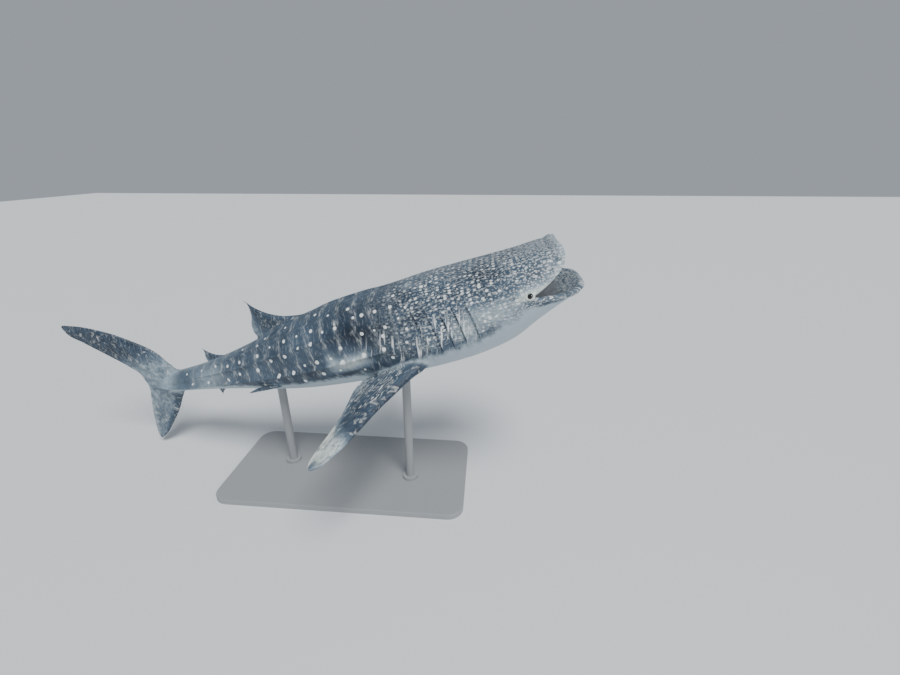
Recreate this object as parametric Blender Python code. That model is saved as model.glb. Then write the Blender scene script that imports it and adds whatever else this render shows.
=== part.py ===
"""A whale shark at life size, nose up with its mouth open, held by two rods on a flat display base."""

import math

import bmesh
import bpy
import numpy as np
from mathutils import Matrix

# The animal. Stations and sizes along and across the body are counted in hundredths of its total length.
TOTAL_LENGTH = 6.0
U = TOTAL_LENGTH / 100
NOSE_PITCH = math.radians(22.6)
STRAIGHT_TO = 15.0
# (station, degrees of sideways bend per station), which carries the tail to the animal's left
SIDE_BEND = ((STRAIGHT_TO, 0.0), (22, 0.32), (34, 0.28), (46, 0.22), (58, 0.13), (70, 0.05), (80, 0.03))
# (station, degrees per station by which the body levels out towards the tail)
LEVEL_BEND = ((STRAIGHT_TO, 0.0), (22, 0.05), (34, 0.07), (46, 0.17), (58, 0.20), (70, 0.16), (80, 0.13))

# Body sections: station, half width, height above the spine line, depth below it, upper half's squareness
SECTIONS = (
    (-2, 7.2, 4.0, 2.1, 3.3),
    (0, 7.7, 4.7, 2.9, 3.3),
    (3, 8.1, 4.9, 3.9, 3.2),
    (6, 8.3, 5.1, 5.0, 3.0),
    (10, 8.4, 5.6, 6.7, 2.7),
    (15, 8.3, 6.3, 7.5, 2.4),
    (20, 8.0, 6.9, 7.6, 2.25),
    (26, 7.5, 7.2, 7.3, 2.2),
    (32, 7.0, 7.6, 6.8, 2.15),
    (40, 6.3, 7.6, 6.0, 2.1),
    (46, 5.7, 7.0, 5.3, 2.1),
    (52, 4.9, 5.9, 4.4, 2.1),
    (60, 3.9, 4.5, 3.0, 2.1),
    (70, 2.8, 3.0, 2.1, 2.1),
    (79, 2.1, 2.1, 1.8, 2.1),
    (90, 0.5, 1.2, 1.2, 2.0),
)
BELLY_SQUARENESS = 2.3

# Angles round the body are in degrees from the middle of the back, 90 at the flanks and 180 at the belly.
UPPER_SECTORS = (0, 6, 14, 22, 30, 34.5, 38, 41.5, 48, 55, 59.5, 63, 66.5, 73, 80, 86)
SECTORS = UPPER_SECTORS + (90, 94, 98, 104, 112, 121, 131, 141, 151, 161, 171, 180)
# Ridges along each side: (angle, height, first station, last station)
RIDGES = ((0, 0.30, 24, 42), (38, 0.34, 20, 68), (63, 0.34, 17, 72), (94, 0.42, 25, 78))
RIDGE_HALF_WIDTH, RIDGE_FADE = 2.6, 6.0
# The keel along each side of the tail stalk
KEEL_ANGLE, KEEL_HEIGHT, KEEL_HALF_WIDTH = 94, 0.75, 6.76
KEEL_RISE, KEEL_FALL = (60, 74), (82, 87)

# The mouth. The lip's station is a function of the angle.
CORNER_STATION = 6.4
UPPER_LIP_POWER, UPPER_LIP_DENT = 2.5, 0.5
JAW_TIP_STATION, LOWER_LIP_POWER = -1.2, 1.7
LIP_RADIUS, LIP_SWELL = 0.42, 0.16
LIP_BACK, CREASE_BACK, FOLD_WIDTH, CREASE_DEPTH = 0.55, 1.55, 0.4, 0.112
MOUTH_DEPTH_STATION = 17.0
CAVITY_SQUARENESS, CAVITY_START, WALL_FULL_SHARE, THROAT_BLUNTNESS = 2.4, 0.3, 0.6, 5
WALL_TOP, WALL_SIDE, WALL_BOTTOM = 2.9, 1.9, 1.3
# The lower jaw is split from the head by a slanted line, given from the mouth's corner
JAW_SPLIT_DROP, JAW_SPLIT_BACK, JAW_SPLIT_FOOT = 0.8, 0.4, 8.6
JAW_BLOCK_REACH, JAW_BLOCK_HALF = 14, 12

EYE_STATION, EYE_ANGLE, EYE_RADIUS, EYE_SINK = 6.2, 86.0, 0.48, 0.20
EYE_FACETS = (18, 10)
LID_RADIUS, LID_WIDTH = 0.58, 0.16
SPIRACLE_STATION, SPIRACLE_ANGLE, SPIRACLE_SIZE = 8.6, 82.0, (0.40, 0.28, 0.36)
NOSTRIL_ANGLE, NOSTRIL_BACK, NOSTRIL_SIZE = 52.0, 0.75, (0.75, 0.32, 0.42)

GILL_SLITS = (14.4, 16.4, 18.3, 20.1, 21.8)
GILL_TOP, GILL_BOTTOM, GILL_FADE, GILL_LIFT, GILL_GROOVE = 57.0, 131.0, 16.0, 0.26, 0.30
# Each slit bows back above and below its middle, and each flap starts behind the slit in front
GILL_MIDDLE, GILL_SPREAD, GILL_BOW = 94.0, 30.0, 0.5
FLAP_LEAD, FLAP_START = 2.2, 0.3
FLAP_EDGE, GROOVE_END, GROOVE_REACH = (-0.02, 0.10), (0.15, 0.9), 1.0

HEAD_END, STALK_END, CAUDAL_ROOT = 23.0, 79.0, 78.5
# Lengths of the body behind the head: name, first station, last station, rings
BODY_LENGTHS = {
    "trunk": (HEAD_END, 43.0, 9),
    "rear_trunk": (43.0, 60.0, 8),
    "tail_stalk": (60.0, STALK_END, 9),
}
GAP = 0.0003
MERGE = 0.00003

# The display stand
BASE_SIZE = (2.7, 1.25, 0.06)
BASE_CORNER, BASE_EDGE = 0.16, 0.008
CORNER_STEPS, EDGE_STEPS = 6, 2
ROD_RADIUS, COLLAR_RADIUS, COLLAR_HEIGHT, ROD_SIDES = 0.045, 0.085, 0.03, 24
ROD_STATIONS = (27.0, 53.0)
TAIL_CLEARANCE = 0.07

# Colours, linear, read off the photograph by eye
SLATE = (0.055, 0.085, 0.135, 1)
PALE = (0.50, 0.56, 0.58, 1)
EYE_BLACK = (0.010, 0.011, 0.013, 1)
STAND_GREY = (0.30, 0.31, 0.32, 1)


def clear_scene():
    for obj in list(bpy.data.objects):
        bpy.data.objects.remove(obj)


def material(name, colour, roughness, metallic=0.0):
    made = bpy.data.materials.get(name) or bpy.data.materials.new(name)
    made.use_nodes = True
    shader = made.node_tree.nodes["Principled BSDF"]
    shader.inputs["Base Color"].default_value = colour
    shader.inputs["Roughness"].default_value = roughness
    shader.inputs["Metallic"].default_value = metallic
    return made


def smooth(knots, values, x):
    """Cubic through the knots, flat-ended, with the slopes of a Catmull-Rom spline."""
    knots, values = np.asarray(knots, float), np.asarray(values, float)
    slopes = np.gradient(values, knots)
    x = np.clip(np.asarray(x, float), knots[0], knots[-1])
    i = np.clip(np.searchsorted(knots, x, side="right") - 1, 0, len(knots) - 2)
    step = knots[i + 1] - knots[i]
    t = (x - knots[i]) / step
    rise = t * t * (3 - 2 * t)
    bend_in = t * (1 - t) ** 2 * step * slopes[i]
    bend_out = -(t**2) * (1 - t) * step * slopes[i + 1]
    return values[i] + (values[i + 1] - values[i]) * rise + bend_in + bend_out


def ramp(x, start, end):
    """0 before start, 1 after end, and a smooth step between."""
    t = np.clip((np.asarray(x, float) - start) / (end - start), 0, 1)
    return t * t * (3 - 2 * t)


def window(x, start, end, fade):
    return ramp(x, start, start + fade) * (1 - ramp(x, end - fade, end))


def table_column(column, stations):
    return smooth([row[0] for row in SECTIONS], [row[column] for row in SECTIONS], stations)


def turn_z(angle):
    return np.array(Matrix.Rotation(angle, 3, "Z"))


def turn_y(angle):
    return np.array(Matrix.Rotation(angle, 3, "Y"))


SPINE_STEP = 0.5
SPINE_STATIONS = np.arange(0, 90.1, SPINE_STEP)


def spine_frames():
    """The spine line from the nose's station at the origin, and its frames: forward, left, up."""
    points, frames = [np.zeros(3)], [turn_y(-NOSE_PITCH)]
    for station in SPINE_STATIONS[1:] - SPINE_STEP / 2:
        side = np.interp(station, *zip(*SIDE_BEND), left=0)
        level = np.interp(station, *zip(*LEVEL_BEND), left=0)
        turn = turn_z(-math.radians(side * SPINE_STEP)) @ turn_y(math.radians(level * SPINE_STEP))
        frames.append(frames[-1] @ turn)
        points.append(points[-1] - frames[-1][:, 0] * SPINE_STEP * U)
    return np.array(points), np.array(frames)


SPINE_POINTS, SPINE_FRAMES = spine_frames()
CAUDAL_TURN = math.radians(14.7)
CAUDAL_FRAME = SPINE_FRAMES[int(CAUDAL_ROOT / SPINE_STEP)] @ turn_z(CAUDAL_TURN)
LOWER_TIP = (10.8, -11.6)


def frame_at(stations):
    """Centre points and frames at these stations. Before station 0 the line runs straight on."""
    stations = np.asarray(stations, float)
    place = np.clip(stations / SPINE_STEP, 0, len(SPINE_STATIONS) - 1.001)
    i = place.astype(int)
    t = (place - i)[..., None]
    points = SPINE_POINTS[i] * (1 - t) + SPINE_POINTS[i + 1] * t
    points = points - SPINE_FRAMES[0][:, 0] * (np.minimum(stations, 0) * U)[..., None]
    frames = SPINE_FRAMES[i] * (1 - t[..., None]) + SPINE_FRAMES[i + 1] * t[..., None]
    return points, frames


def placed_origin():
    """Where the nose's station goes: the tail clears the floor and the rods stand about the middle."""
    end = frame_at(CAUDAL_ROOT)[0]
    tip = end + CAUDAL_FRAME @ (np.array([-LOWER_TIP[0], 0, LOWER_TIP[1]]) * U)
    rods = frame_at(ROD_STATIONS)[0].mean(axis=0)
    return np.array([-rods[0], -rods[1], TAIL_CLEARANCE - tip[2]])


SPINE_POINTS = SPINE_POINTS + placed_origin()


def lip_station(angles):
    """The station of the lip's edge at each angle."""
    fall = np.cos(np.radians(angles))
    above, below = np.clip(fall, 0, 1), np.clip(-fall, 0, 1)
    upper = CORNER_STATION * (1 - above) ** UPPER_LIP_POWER + UPPER_LIP_DENT * above**4
    reach = CORNER_STATION - JAW_TIP_STATION
    lower = JAW_TIP_STATION + reach * (1 - below) ** LOWER_LIP_POWER
    return np.where(fall >= 0, upper, lower)


def ridge_lift(stations, angles):
    lift = np.zeros(np.broadcast(stations, angles).shape)
    away = np.abs(angles)
    for angle, height, first, last in RIDGES:
        shape = np.exp(-(((away - angle) / RIDGE_HALF_WIDTH) ** 2))
        lift = lift + height * shape * window(stations, first, last, RIDGE_FADE)
    keel = np.exp(-(((away - KEEL_ANGLE) / KEEL_HALF_WIDTH) ** 2))
    return lift + KEEL_HEIGHT * keel * ramp(stations, *KEEL_RISE) * (1 - ramp(stations, *KEEL_FALL))


def gill_lift(stations, angles):
    """Each flap rises towards its slit and drops into a groove behind its edge."""
    away = np.abs(angles)
    lift = np.zeros(np.broadcast(stations, angles).shape)
    start = GILL_SLITS[0] - FLAP_LEAD
    for slit in GILL_SLITS:
        bow = slit + GILL_BOW * ((away - GILL_MIDDLE) / GILL_SPREAD) ** 2
        rise = np.clip((stations - start) / (bow - start), 0, 1)
        drop = ramp(stations - bow, *FLAP_EDGE)
        groove = drop * (1 - ramp(stations - bow, *GROOVE_END))
        inside = (stations > start) & (stations <= bow + GROOVE_REACH)
        lift = np.where(inside, GILL_LIFT * rise**2 * (1 - drop) - GILL_GROOVE * groove, lift)
        start = slit + FLAP_START
    return lift * window(away, GILL_TOP, GILL_BOTTOM, GILL_FADE)


def lip_lift(stations, angles):
    """A rounded lip along the mouth's edge with a crease behind it."""
    back = np.asarray(stations) - lip_station(angles)
    rim = np.exp(-(((back - LIP_BACK) / FOLD_WIDTH) ** 2))
    crease = np.exp(-(((back - CREASE_BACK) / FOLD_WIDTH) ** 2))
    return LIP_SWELL * rim - CREASE_DEPTH * crease


def round_section(angles, power):
    """Across and up on a rounded square of half size 1, and the same for a circle."""
    turned = np.radians(angles)
    across, up = np.sin(turned), np.cos(turned)
    round_off = (np.abs(across) ** power + np.abs(up) ** power) ** (-1 / power)
    return across * round_off, up * round_off, across, up


def skin(stations, angles, swell=0.0):
    """Points of the outer skin, moved out by swell in metres."""
    stations, angles = np.broadcast_arrays(np.asarray(stations, float), np.asarray(angles, float))
    power = table_column(4, stations)
    power = np.where(np.abs(angles) <= 90, power, np.minimum(power, BELLY_SQUARENESS))
    wide, high, across, up = round_section(angles, power)
    width, top, bottom = (table_column(k, stations) for k in (1, 2, 3))
    height = np.where(up >= 0, top, bottom)
    lift = ridge_lift(stations, angles) + gill_lift(stations, angles) + lip_lift(stations, angles)
    outward = np.stack([across / width, up / height], axis=-1)
    outward /= np.linalg.norm(outward, axis=-1, keepdims=True)
    y = (wide * width + outward[..., 0] * lift) * U + outward[..., 0] * swell
    z = (high * height + outward[..., 1] * lift) * U + outward[..., 1] * swell
    centre, frames = frame_at(stations)
    local = np.stack([np.zeros_like(y), y, z], axis=-1)
    return centre + np.einsum("...ij,...j->...i", frames, local)


def cavity(share, angles):
    """Points of the mouth's inner wall: share 0 is behind the lip and 1 is the throat."""
    first = lip_station(angles) + CAVITY_START
    stations = first + (MOUTH_DEPTH_STATION - first) * share
    wide, high, _, up = round_section(angles, CAVITY_SQUARENESS)
    lip_wall, grow = 2 * LIP_RADIUS, ramp(share, 0.0, WALL_FULL_SHARE)
    walls = (WALL_SIDE, WALL_TOP, WALL_BOTTOM)
    side, top, bottom = (
        table_column(k, stations) - lip_wall - (wall - lip_wall) * grow for k, wall in zip((1, 2, 3), walls)
    )
    close = np.sqrt(np.clip(1 - share**THROAT_BLUNTNESS, 0, 1))
    y = wide * side * close
    z = high * np.where(up >= 0, top, bottom) * close
    centre, frames = frame_at(stations)
    local = np.stack([np.zeros_like(y), y, z], axis=-1) * U
    return centre + np.einsum("...ij,...j->...i", frames, local)


def girth_angles():
    """Angles right round the body, down the left side and up the right."""
    return np.array(list(SECTORS) + [-a for a in SECTORS[-2:0:-1]], float)


def new_object(name, points, faces, look, smooth_above=40):
    mesh = bpy.data.meshes.new(name)
    mesh.from_pydata([tuple(p) for p in points], [], faces)
    mesh.validate()
    work = bmesh.new()
    work.from_mesh(mesh)
    bmesh.ops.recalc_face_normals(work, faces=work.faces)
    work.to_mesh(mesh)
    work.free()
    mesh.shade_smooth()
    mesh.set_sharp_from_angle(angle=math.radians(smooth_above))
    mesh.materials.append(look)
    obj = bpy.data.objects.new(name, mesh)
    bpy.context.scene.collection.objects.link(obj)
    return obj


def ring_faces(rings, around, first_cap=None, last_cap=None):
    """Triangles between successive rings, with whole faces or a fan to a middle point at the ends."""
    faces = []
    for r in range(rings - 1):
        for k in range(around):
            n = (k + 1) % around
            a, b, c, d = r * around + k, (r + 1) * around + k, (r + 1) * around + n, r * around + n
            faces += [(a, b, c), (a, c, d)]
    for ring, middle in ((0, first_cap), (rings - 1, last_cap)):
        loop = [ring * around + k for k in range(around)]
        if middle is None:
            faces.append(tuple(loop))
        else:
            faces.extend((loop[k], loop[(k + 1) % around], middle) for k in range(around))
    return faces


def body_piece(name, stations, look, swell=0.0):
    """A length of the body closed by flat ends."""
    angles = girth_angles()
    rings = [skin(np.full(len(angles), s), angles, swell) for s in stations]
    return new_object(name, np.concatenate(rings), ring_faces(len(rings), len(angles)), look)


def apply_boolean(obj, other, operation):
    """Cuts obj by other, or joins it, applies the result and removes other."""
    step = obj.modifiers.new(operation.title(), "BOOLEAN")
    step.operation = operation
    step.solver = "EXACT"
    step.object = other
    bpy.context.view_layer.update()
    shape = bpy.data.meshes.new_from_object(obj.evaluated_get(bpy.context.evaluated_depsgraph_get()))
    obj.modifiers.clear()
    obj.data = shape
    bpy.data.objects.remove(other)
    keep_largest(obj)


def keep_largest(obj):
    """Merges near-identical points and keeps only the largest surface of what a Boolean leaves."""
    work = bmesh.new()
    work.from_mesh(obj.data)
    bmesh.ops.remove_doubles(work, verts=work.verts, dist=MERGE)
    bmesh.ops.dissolve_degenerate(work, dist=MERGE, edges=work.edges)
    left, best = set(work.verts), []
    while left:
        island, queue = [], [left.pop()]
        while queue:
            vert = queue.pop()
            island.append(vert)
            near = {edge.other_vert(vert) for edge in vert.link_edges} & left
            left -= near
            queue.extend(near)
        if len(island) > len(best):
            best = island
    keep = set(best)
    bmesh.ops.delete(work, geom=[v for v in work.verts if v not in keep], context="VERTS")
    work.to_mesh(obj.data)
    work.free()


def gill_stations():
    """Rings before the first flap, about each flap's edge and groove, and at the head's end."""
    found = [GILL_SLITS[0] - FLAP_LEAD / 2]
    for slit in GILL_SLITS:
        found += [slit + step for step in SLIT_RINGS]
    return found[:-1] + [HEAD_END - GAP / 2 / U]


def piece_stations(name):
    first, last, rings = BODY_LENGTHS[name]
    return list(np.linspace(first + GAP / 2 / U, last - GAP / 2 / U, rings))


# Rings from the first flap to the lips, closer towards the lips, and rings down the mouth
FRONT_RINGS, FRONT_CLOSENESS, FRONT_START, CAVITY_RINGS = 8, 1.25, 1.9, 8
SLIT_RINGS = (-0.04, 0.14, 0.95)


def head_whole(look):
    """The head from the gills to the lips and back down the mouth to a closed throat."""
    angles = girth_angles()
    around = len(angles)
    lips = lip_station(angles)
    behind = GILL_SLITS[0] - FRONT_START
    rings = [skin(np.full(around, s), angles) for s in reversed(gill_stations())]
    for share in np.linspace(1, 0, FRONT_RINGS) ** FRONT_CLOSENESS:
        rings.append(skin(lips + (behind - lips) * share, angles))
    inner = cavity(np.zeros(around), angles)
    forward = frame_at(0)[1][:, 0]
    rings.append((rings[-1] + inner) / 2 + forward * LIP_RADIUS * U)
    for share in np.linspace(0, 1, CAVITY_RINGS + 1)[:-1]:
        rings.append(cavity(np.full(around, share), angles))
    throat = frame_at(MOUTH_DEPTH_STATION)[0]
    points = np.concatenate(rings + [throat[None]])
    return new_object("head", points, ring_faces(len(rings), around, None, len(points) - 1), look)


def jaw_block(extra, look):
    """A block that holds the lower jaw, below a line from the mouth's corner back and down to the throat."""
    corner, frame = frame_at(CORNER_STATION)
    lift = extra / U
    upper = [(-JAW_BLOCK_REACH, lift), (JAW_SPLIT_BACK + lift, lift)]
    profile = upper + [(JAW_SPLIT_FOOT + lift, -JAW_BLOCK_REACH), (-JAW_BLOCK_REACH, -JAW_BLOCK_REACH)]
    points = []
    for half in (-JAW_BLOCK_HALF, JAW_BLOCK_HALF):
        for back, up in profile:
            points.append(corner + frame @ (np.array([-back, half, up - JAW_SPLIT_DROP]) * U))
    faces = [(3, 2, 1, 0), (4, 5, 6, 7)] + [(k, (k + 1) % 4, (k + 1) % 4 + 4, k + 4) for k in range(4)]
    return new_object("jaw_block", points, faces, look)


def ball(centre, axes, size, segments=10, rings=6):
    """Points and faces of an ellipsoid with these half sizes along the columns of axes."""
    work = bmesh.new()
    bmesh.ops.create_uvsphere(work, u_segments=segments, v_segments=rings, radius=1.0)
    return shape_data(work, centre, axes * np.array(size))


def shape_data(work, centre, axes):
    """The points, moved and turned, and the faces of a bmesh, which is then freed."""
    points = [centre + axes @ np.array(v.co) for v in work.verts]
    work.verts.index_update()
    faces = [tuple(v.index for v in f.verts) for f in work.faces]
    work.free()
    return points, faces


def torus(centre, axes, major, minor, around=18, section=6):
    rings = []
    for turn in np.linspace(0, 2 * math.pi, around, endpoint=False):
        middle = np.array([math.cos(turn), math.sin(turn), 0])
        for tilt in np.linspace(0, 2 * math.pi, section, endpoint=False):
            local = middle * (major + minor * math.cos(tilt)) + np.array([0, 0, minor * math.sin(tilt)])
            rings.append(centre + axes @ local)
    faces = []
    for r in range(around):
        for k in range(section):
            n, m = (k + 1) % section, (r + 1) % around
            faces.append((r * section + k, m * section + k, m * section + n, r * section + n))
    return rings, faces


def joined(name, shapes, look):
    """One object from several separate shapes, each a pair of points and faces."""
    points, faces = [], []
    for more_points, more_faces in shapes:
        start = len(points)
        points.extend(more_points)
        faces.extend(tuple(start + k for k in face) for face in more_faces)
    return new_object(name, points, faces, look)


def surface_frame(station, angle):
    """A point of the skin with its axes: backward along the body, up round it, and outward."""
    here = skin(station, angle)
    back = skin(station + 0.4, angle) - here
    back /= np.linalg.norm(back)
    upward = skin(station, angle - math.copysign(3.0, angle)) - here
    out = np.cross(back, upward)
    out /= np.linalg.norm(out)
    if out @ (here - frame_at(station)[0]) < 0:
        out = -out
    return here, np.stack([back, np.cross(out, back), out], axis=1)


def eye_place(side):
    here, axes = surface_frame(EYE_STATION, side * EYE_ANGLE)
    return here - axes[:, 2] * EYE_SINK * U, axes


def lid(side):
    """A round fold of skin about the eye."""
    centre, axes = eye_place(side)
    return torus(centre + axes[:, 2] * EYE_SINK * U, axes, LID_RADIUS * U, LID_WIDTH * U)


def pits(side):
    """The eye's socket, the spiracle behind it and the nostril in the upper lip."""
    centre, axes = eye_place(side)
    socket = EYE_RADIUS * U + GAP
    found = [ball(centre, axes, (socket, socket, socket), *EYE_FACETS)]
    here, axes = surface_frame(SPIRACLE_STATION, side * SPIRACLE_ANGLE)
    found.append(ball(here, axes, np.array(SPIRACLE_SIZE) * U))
    angle = side * NOSTRIL_ANGLE
    here, axes = surface_frame(float(lip_station(angle)) + NOSTRIL_BACK, angle)
    found.append(ball(here, axes, np.array(NOSTRIL_SIZE) * U))
    return found


def head_and_jaw(look, belly_look):
    head = head_whole(look)
    points = [v.co for v in head.data.vertices]
    jaw = new_object("lower_jaw", points, [tuple(p.vertices) for p in head.data.polygons], belly_look)
    apply_boolean(jaw, jaw_block(-GAP, belly_look), "INTERSECT")
    apply_boolean(head, jaw_block(0.0, look), "DIFFERENCE")
    apply_boolean(head, joined("lids", [lid(side) for side in (1, -1)], look), "UNION")
    apply_boolean(head, joined("pits", pits(1) + pits(-1), look), "DIFFERENCE")


def eyes(look):
    for side, name in ((1, "eye_left"), (-1, "eye_right")):
        centre, axes = eye_place(side)
        radius = EYE_RADIUS * U
        joined(name, [ball(centre, axes, (radius, radius, radius), *EYE_FACETS)], look)


def foil(chord):
    """Half thickness of a fin's section along its chord, as a share of the greatest."""
    chord = np.asarray(chord, float)
    shape = 1.4845 * np.sqrt(chord) - 0.63 * chord - 1.758 * chord**2 + 1.4215 * chord**3 - 0.518 * chord**4
    return np.clip(shape, 0, None) * 2


CHORD_POINTS = 8
# Half the least thickness of a fin's trailing edge, and the chord from which it holds
EDGE_HALF, EDGE_CHORD = 0.05, 1.5
THICKEST_SHARE, TIP_CLOSENESS = 0.45, 0.9


def fin(name, edges, place, look, thickness, sections, inset=0.0):
    """A fin between its leading and trailing edges, placed by place(out, back, side).

    The root is carried inward by inset so that the body can cut it.
    """
    shares = [row[0] for row in edges]
    t = np.linspace(0, 1, sections) ** TIP_CLOSENESS
    lead = np.stack([smooth(shares, [row[k] for row in edges], t) for k in (1, 2)], axis=-1)
    trail = np.stack([smooth(shares, [row[k] for row in edges], t) for k in (3, 4)], axis=-1)
    root_way = np.array([trail[0, 1] - lead[0, 1], lead[0, 0] - trail[0, 0]])
    root_way /= np.linalg.norm(root_way)
    if inset:
        lead = np.concatenate([[lead[0] - root_way * inset], lead])
        trail = np.concatenate([[trail[0] - root_way * inset], trail])
        t = np.concatenate([[0.0], t])
    chord = (1 - np.cos(np.linspace(0, math.pi, CHORD_POINTS))) / 2
    points = []
    for share, front, rear in zip(t, lead, trail):
        length = np.linalg.norm(rear - front)
        thick = min(smooth(*zip(*thickness), share), THICKEST_SHARE * length)
        half = np.maximum(foil(chord) * thick / 2, EDGE_HALF * ramp(length, 0, EDGE_CHORD))
        half[0] = 0
        line = front + (rear - front) * chord[:, None]
        for side, order in ((1, range(CHORD_POINTS)), (-1, range(CHORD_POINTS - 1, 0, -1))):
            points += [place(line[k, 0], line[k, 1], side * half[k]) for k in order]
    around = 2 * CHORD_POINTS - 1
    faces = []
    for r in range(len(t) - 1):
        for k in range(around):
            n = (k + 1) % around
            a, b, c, d = r * around + k, r * around + n, (r + 1) * around + n, (r + 1) * around + k
            upper = k < CHORD_POINTS - 1 or k == CHORD_POINTS - 1
            faces += [(a, b, c), (a, c, d)] if upper else [(a, b, d), (b, c, d)]
    last = (len(t) - 1) * around
    for base in (0, last):
        for k in range(CHORD_POINTS - 1):
            low, high = base + (around - k) % around, base + around - k - 1
            faces.append((base + k, base + k + 1, high))
            if k:
                faces.append((base + k, high, low))
    return new_object(name, points, faces, look, 30)


def plane_place(origin, out_axis, back_axis):
    """Places a fin's own coordinates in the plane through origin with these axes."""
    out_axis = out_axis / np.linalg.norm(out_axis)
    back_axis = back_axis - out_axis * (back_axis @ out_axis)
    back_axis /= np.linalg.norm(back_axis)
    side_axis = np.cross(out_axis, back_axis)
    return lambda out, back, side: origin + (out_axis * out + back_axis * back + side_axis * side) * U


def fit_to_body(obj):
    """Cuts away what lies inside the body, leaving a thin even gap."""
    stations = gill_stations() + [s for name in BODY_LENGTHS for s in piece_stations(name)]
    apply_boolean(obj, body_piece("inside", stations, obj.data.materials[0], GAP), "DIFFERENCE")


# Edges of each fin: (share, leading out, leading back, trailing out, trailing back)
PECTORAL_EDGES = (
    (0.00, 0.0, 0.0, 4.7, 5.6),
    (0.15, 3.4, 0.3, 7.2, 8.3),
    (0.30, 6.8, -0.1, 9.8, 8.0),
    (0.45, 10.2, -0.5, 12.1, 6.2),
    (0.60, 13.4, -1.2, 14.6, 4.2),
    (0.75, 16.6, -1.9, 17.5, 2.6),
    (0.88, 19.4, -2.2, 20.0, 1.4),
    (0.96, 21.3, -1.9, 21.7, 0.3),
    (1.00, 22.2, -1.1, 22.3, -0.6),
)
PECTORAL_STATION, PECTORAL_ANGLE = 23.2, 128.0
PECTORAL_WAY, PECTORAL_REAR = (-15.7, 14.85, -2.33), (-7.25, -0.75, 0.25)
DORSAL_EDGES = (
    (0.0, 0.0, 0.0, 0.0, 11.1),
    (0.2, 0.6, 3.4, 1.2, 10.7),
    (0.4, 1.6, 5.9, 2.4, 9.9),
    (0.6, 2.8, 7.7, 3.6, 9.5),
    (0.8, 4.0, 8.9, 4.6, 9.4),
    (0.93, 4.9, 9.4, 5.1, 9.6),
    (1.0, 5.3, 9.7, 5.35, 9.9),
)
# The second dorsal and anal fins repeat the first dorsal's outline: station, size, extra lean back
DORSAL_STATION = 42.7
SECOND_DORSAL = (63.6, 0.42, 0.15)
ANAL = (65.6, 0.34, 0.25)
BACK_REACH = 6
PELVIC_EDGES = (
    (0.0, 0.0, 0.0, 1.4, 4.2),
    (0.3, 1.1, 1.2, 2.1, 5.0),
    (0.6, 2.1, 2.4, 2.9, 5.1),
    (0.85, 3.0, 3.7, 3.5, 5.0),
    (1.0, 3.7, 4.7, 3.8, 5.0),
)
PELVIC_STATION, PELVIC_ANGLE = 50.0, 119.0
PELVIC_WAY, PELVIC_REAR = (-0.45, 0.88, 0.08), (-1.0, -0.12, 0.05)
# The tail fin: (share from the lower tip to the upper, leading up, leading back, trailing up, trailing back)
CAUDAL_EDGES = (
    (0.00, -11.5, 10.5, -11.4, 10.8),
    (0.06, -10.9, 9.0, -10.2, 10.7),
    (0.14, -9.0, 6.6, -8.2, 10.1),
    (0.24, -6.1, 3.4, -5.4, 9.1),
    (0.34, -3.2, 0.9, -2.8, 8.0),
    (0.42, -1.0, -1.4, -0.8, 7.2),
    (0.50, 1.4, -1.4, 1.2, 6.9),
    (0.58, 4.0, 0.2, 3.2, 6.9),
    (0.68, 7.0, 1.6, 5.6, 8.4),
    (0.80, 10.4, 5.0, 9.0, 11.3),
    (0.90, 13.6, 9.4, 12.4, 14.3),
    (0.97, 15.8, 13.8, 14.9, 16.4),
    (1.00, 16.6, 16.2, 16.4, 16.7),
)


# Thickness at shares of each fin's length, the sections along it and how far its root is carried inward
PECTORAL_FORM = (((0, 2.3), (0.3, 1.7), (0.7, 0.9), (1.0, 0.25)), 13, 3.0)
DORSAL_FORM = (((0, 1.3), (0.5, 0.8), (1.0, 0.2)), 9, 2.6)
SECOND_DORSAL_FORM = (((0, 0.6), (0.5, 0.4), (1.0, 0.14)), 7, 1.4)
ANAL_FORM = (((0, 0.6), (0.5, 0.4), (1.0, 0.14)), 7, 1.2)
PELVIC_FORM = (((0, 0.9), (0.5, 0.5), (1.0, 0.15)), 8, 1.6)
CAUDAL_FORM = (((0, 0.25), (0.15, 0.55), (0.4, 1.5), (0.5, 1.9), (0.6, 1.7), (0.8, 0.9), (1.0, 0.25)), 25)
# The stalk's fleshy end: how far it runs into the tail fin, and its width and height along the way
CONE_LENGTH, CONE_RINGS = 5.2, 5
CONE_WIDTHS = ((0, 1.0), (0.25, 0.73), (0.5, 0.46), (0.75, 0.24), (1.0, 0.14))
CONE_HEIGHT_LOSS = 0.35


def pectoral_fins(look):
    for side, name in ((1, "pectoral_fin_left"), (-1, "pectoral_fin_right")):
        frame = frame_at(PECTORAL_STATION)[1]
        way = frame @ (np.array(PECTORAL_WAY) * [1, side, 1])
        rear = frame @ (np.array(PECTORAL_REAR) * [1, side, 1])
        origin = skin(PECTORAL_STATION, side * PECTORAL_ANGLE)
        fit_to_body(fin(name, PECTORAL_EDGES, plane_place(origin, way, rear), look, *PECTORAL_FORM))


def upright_place(station, out_sign):
    """A fin in the body's middle plane, standing on the back or hanging from the belly."""
    centre, frame = frame_at(station)
    depth = table_column(2 if out_sign > 0 else 3, station)
    origin = centre + frame[:, 2] * out_sign * depth * U
    back = frame_at(station + BACK_REACH)[0] - centre
    return plane_place(origin, frame[:, 2] * out_sign, back)


def dorsal_outline(size, lean):
    """The first dorsal's outline at another size, leaning back by lean per unit of height."""
    rows = np.array(DORSAL_EDGES)
    rows[:, (2, 4)] += lean * rows[:, (1, 3)]
    rows[:, 1:] *= size
    return rows.tolist()


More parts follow.
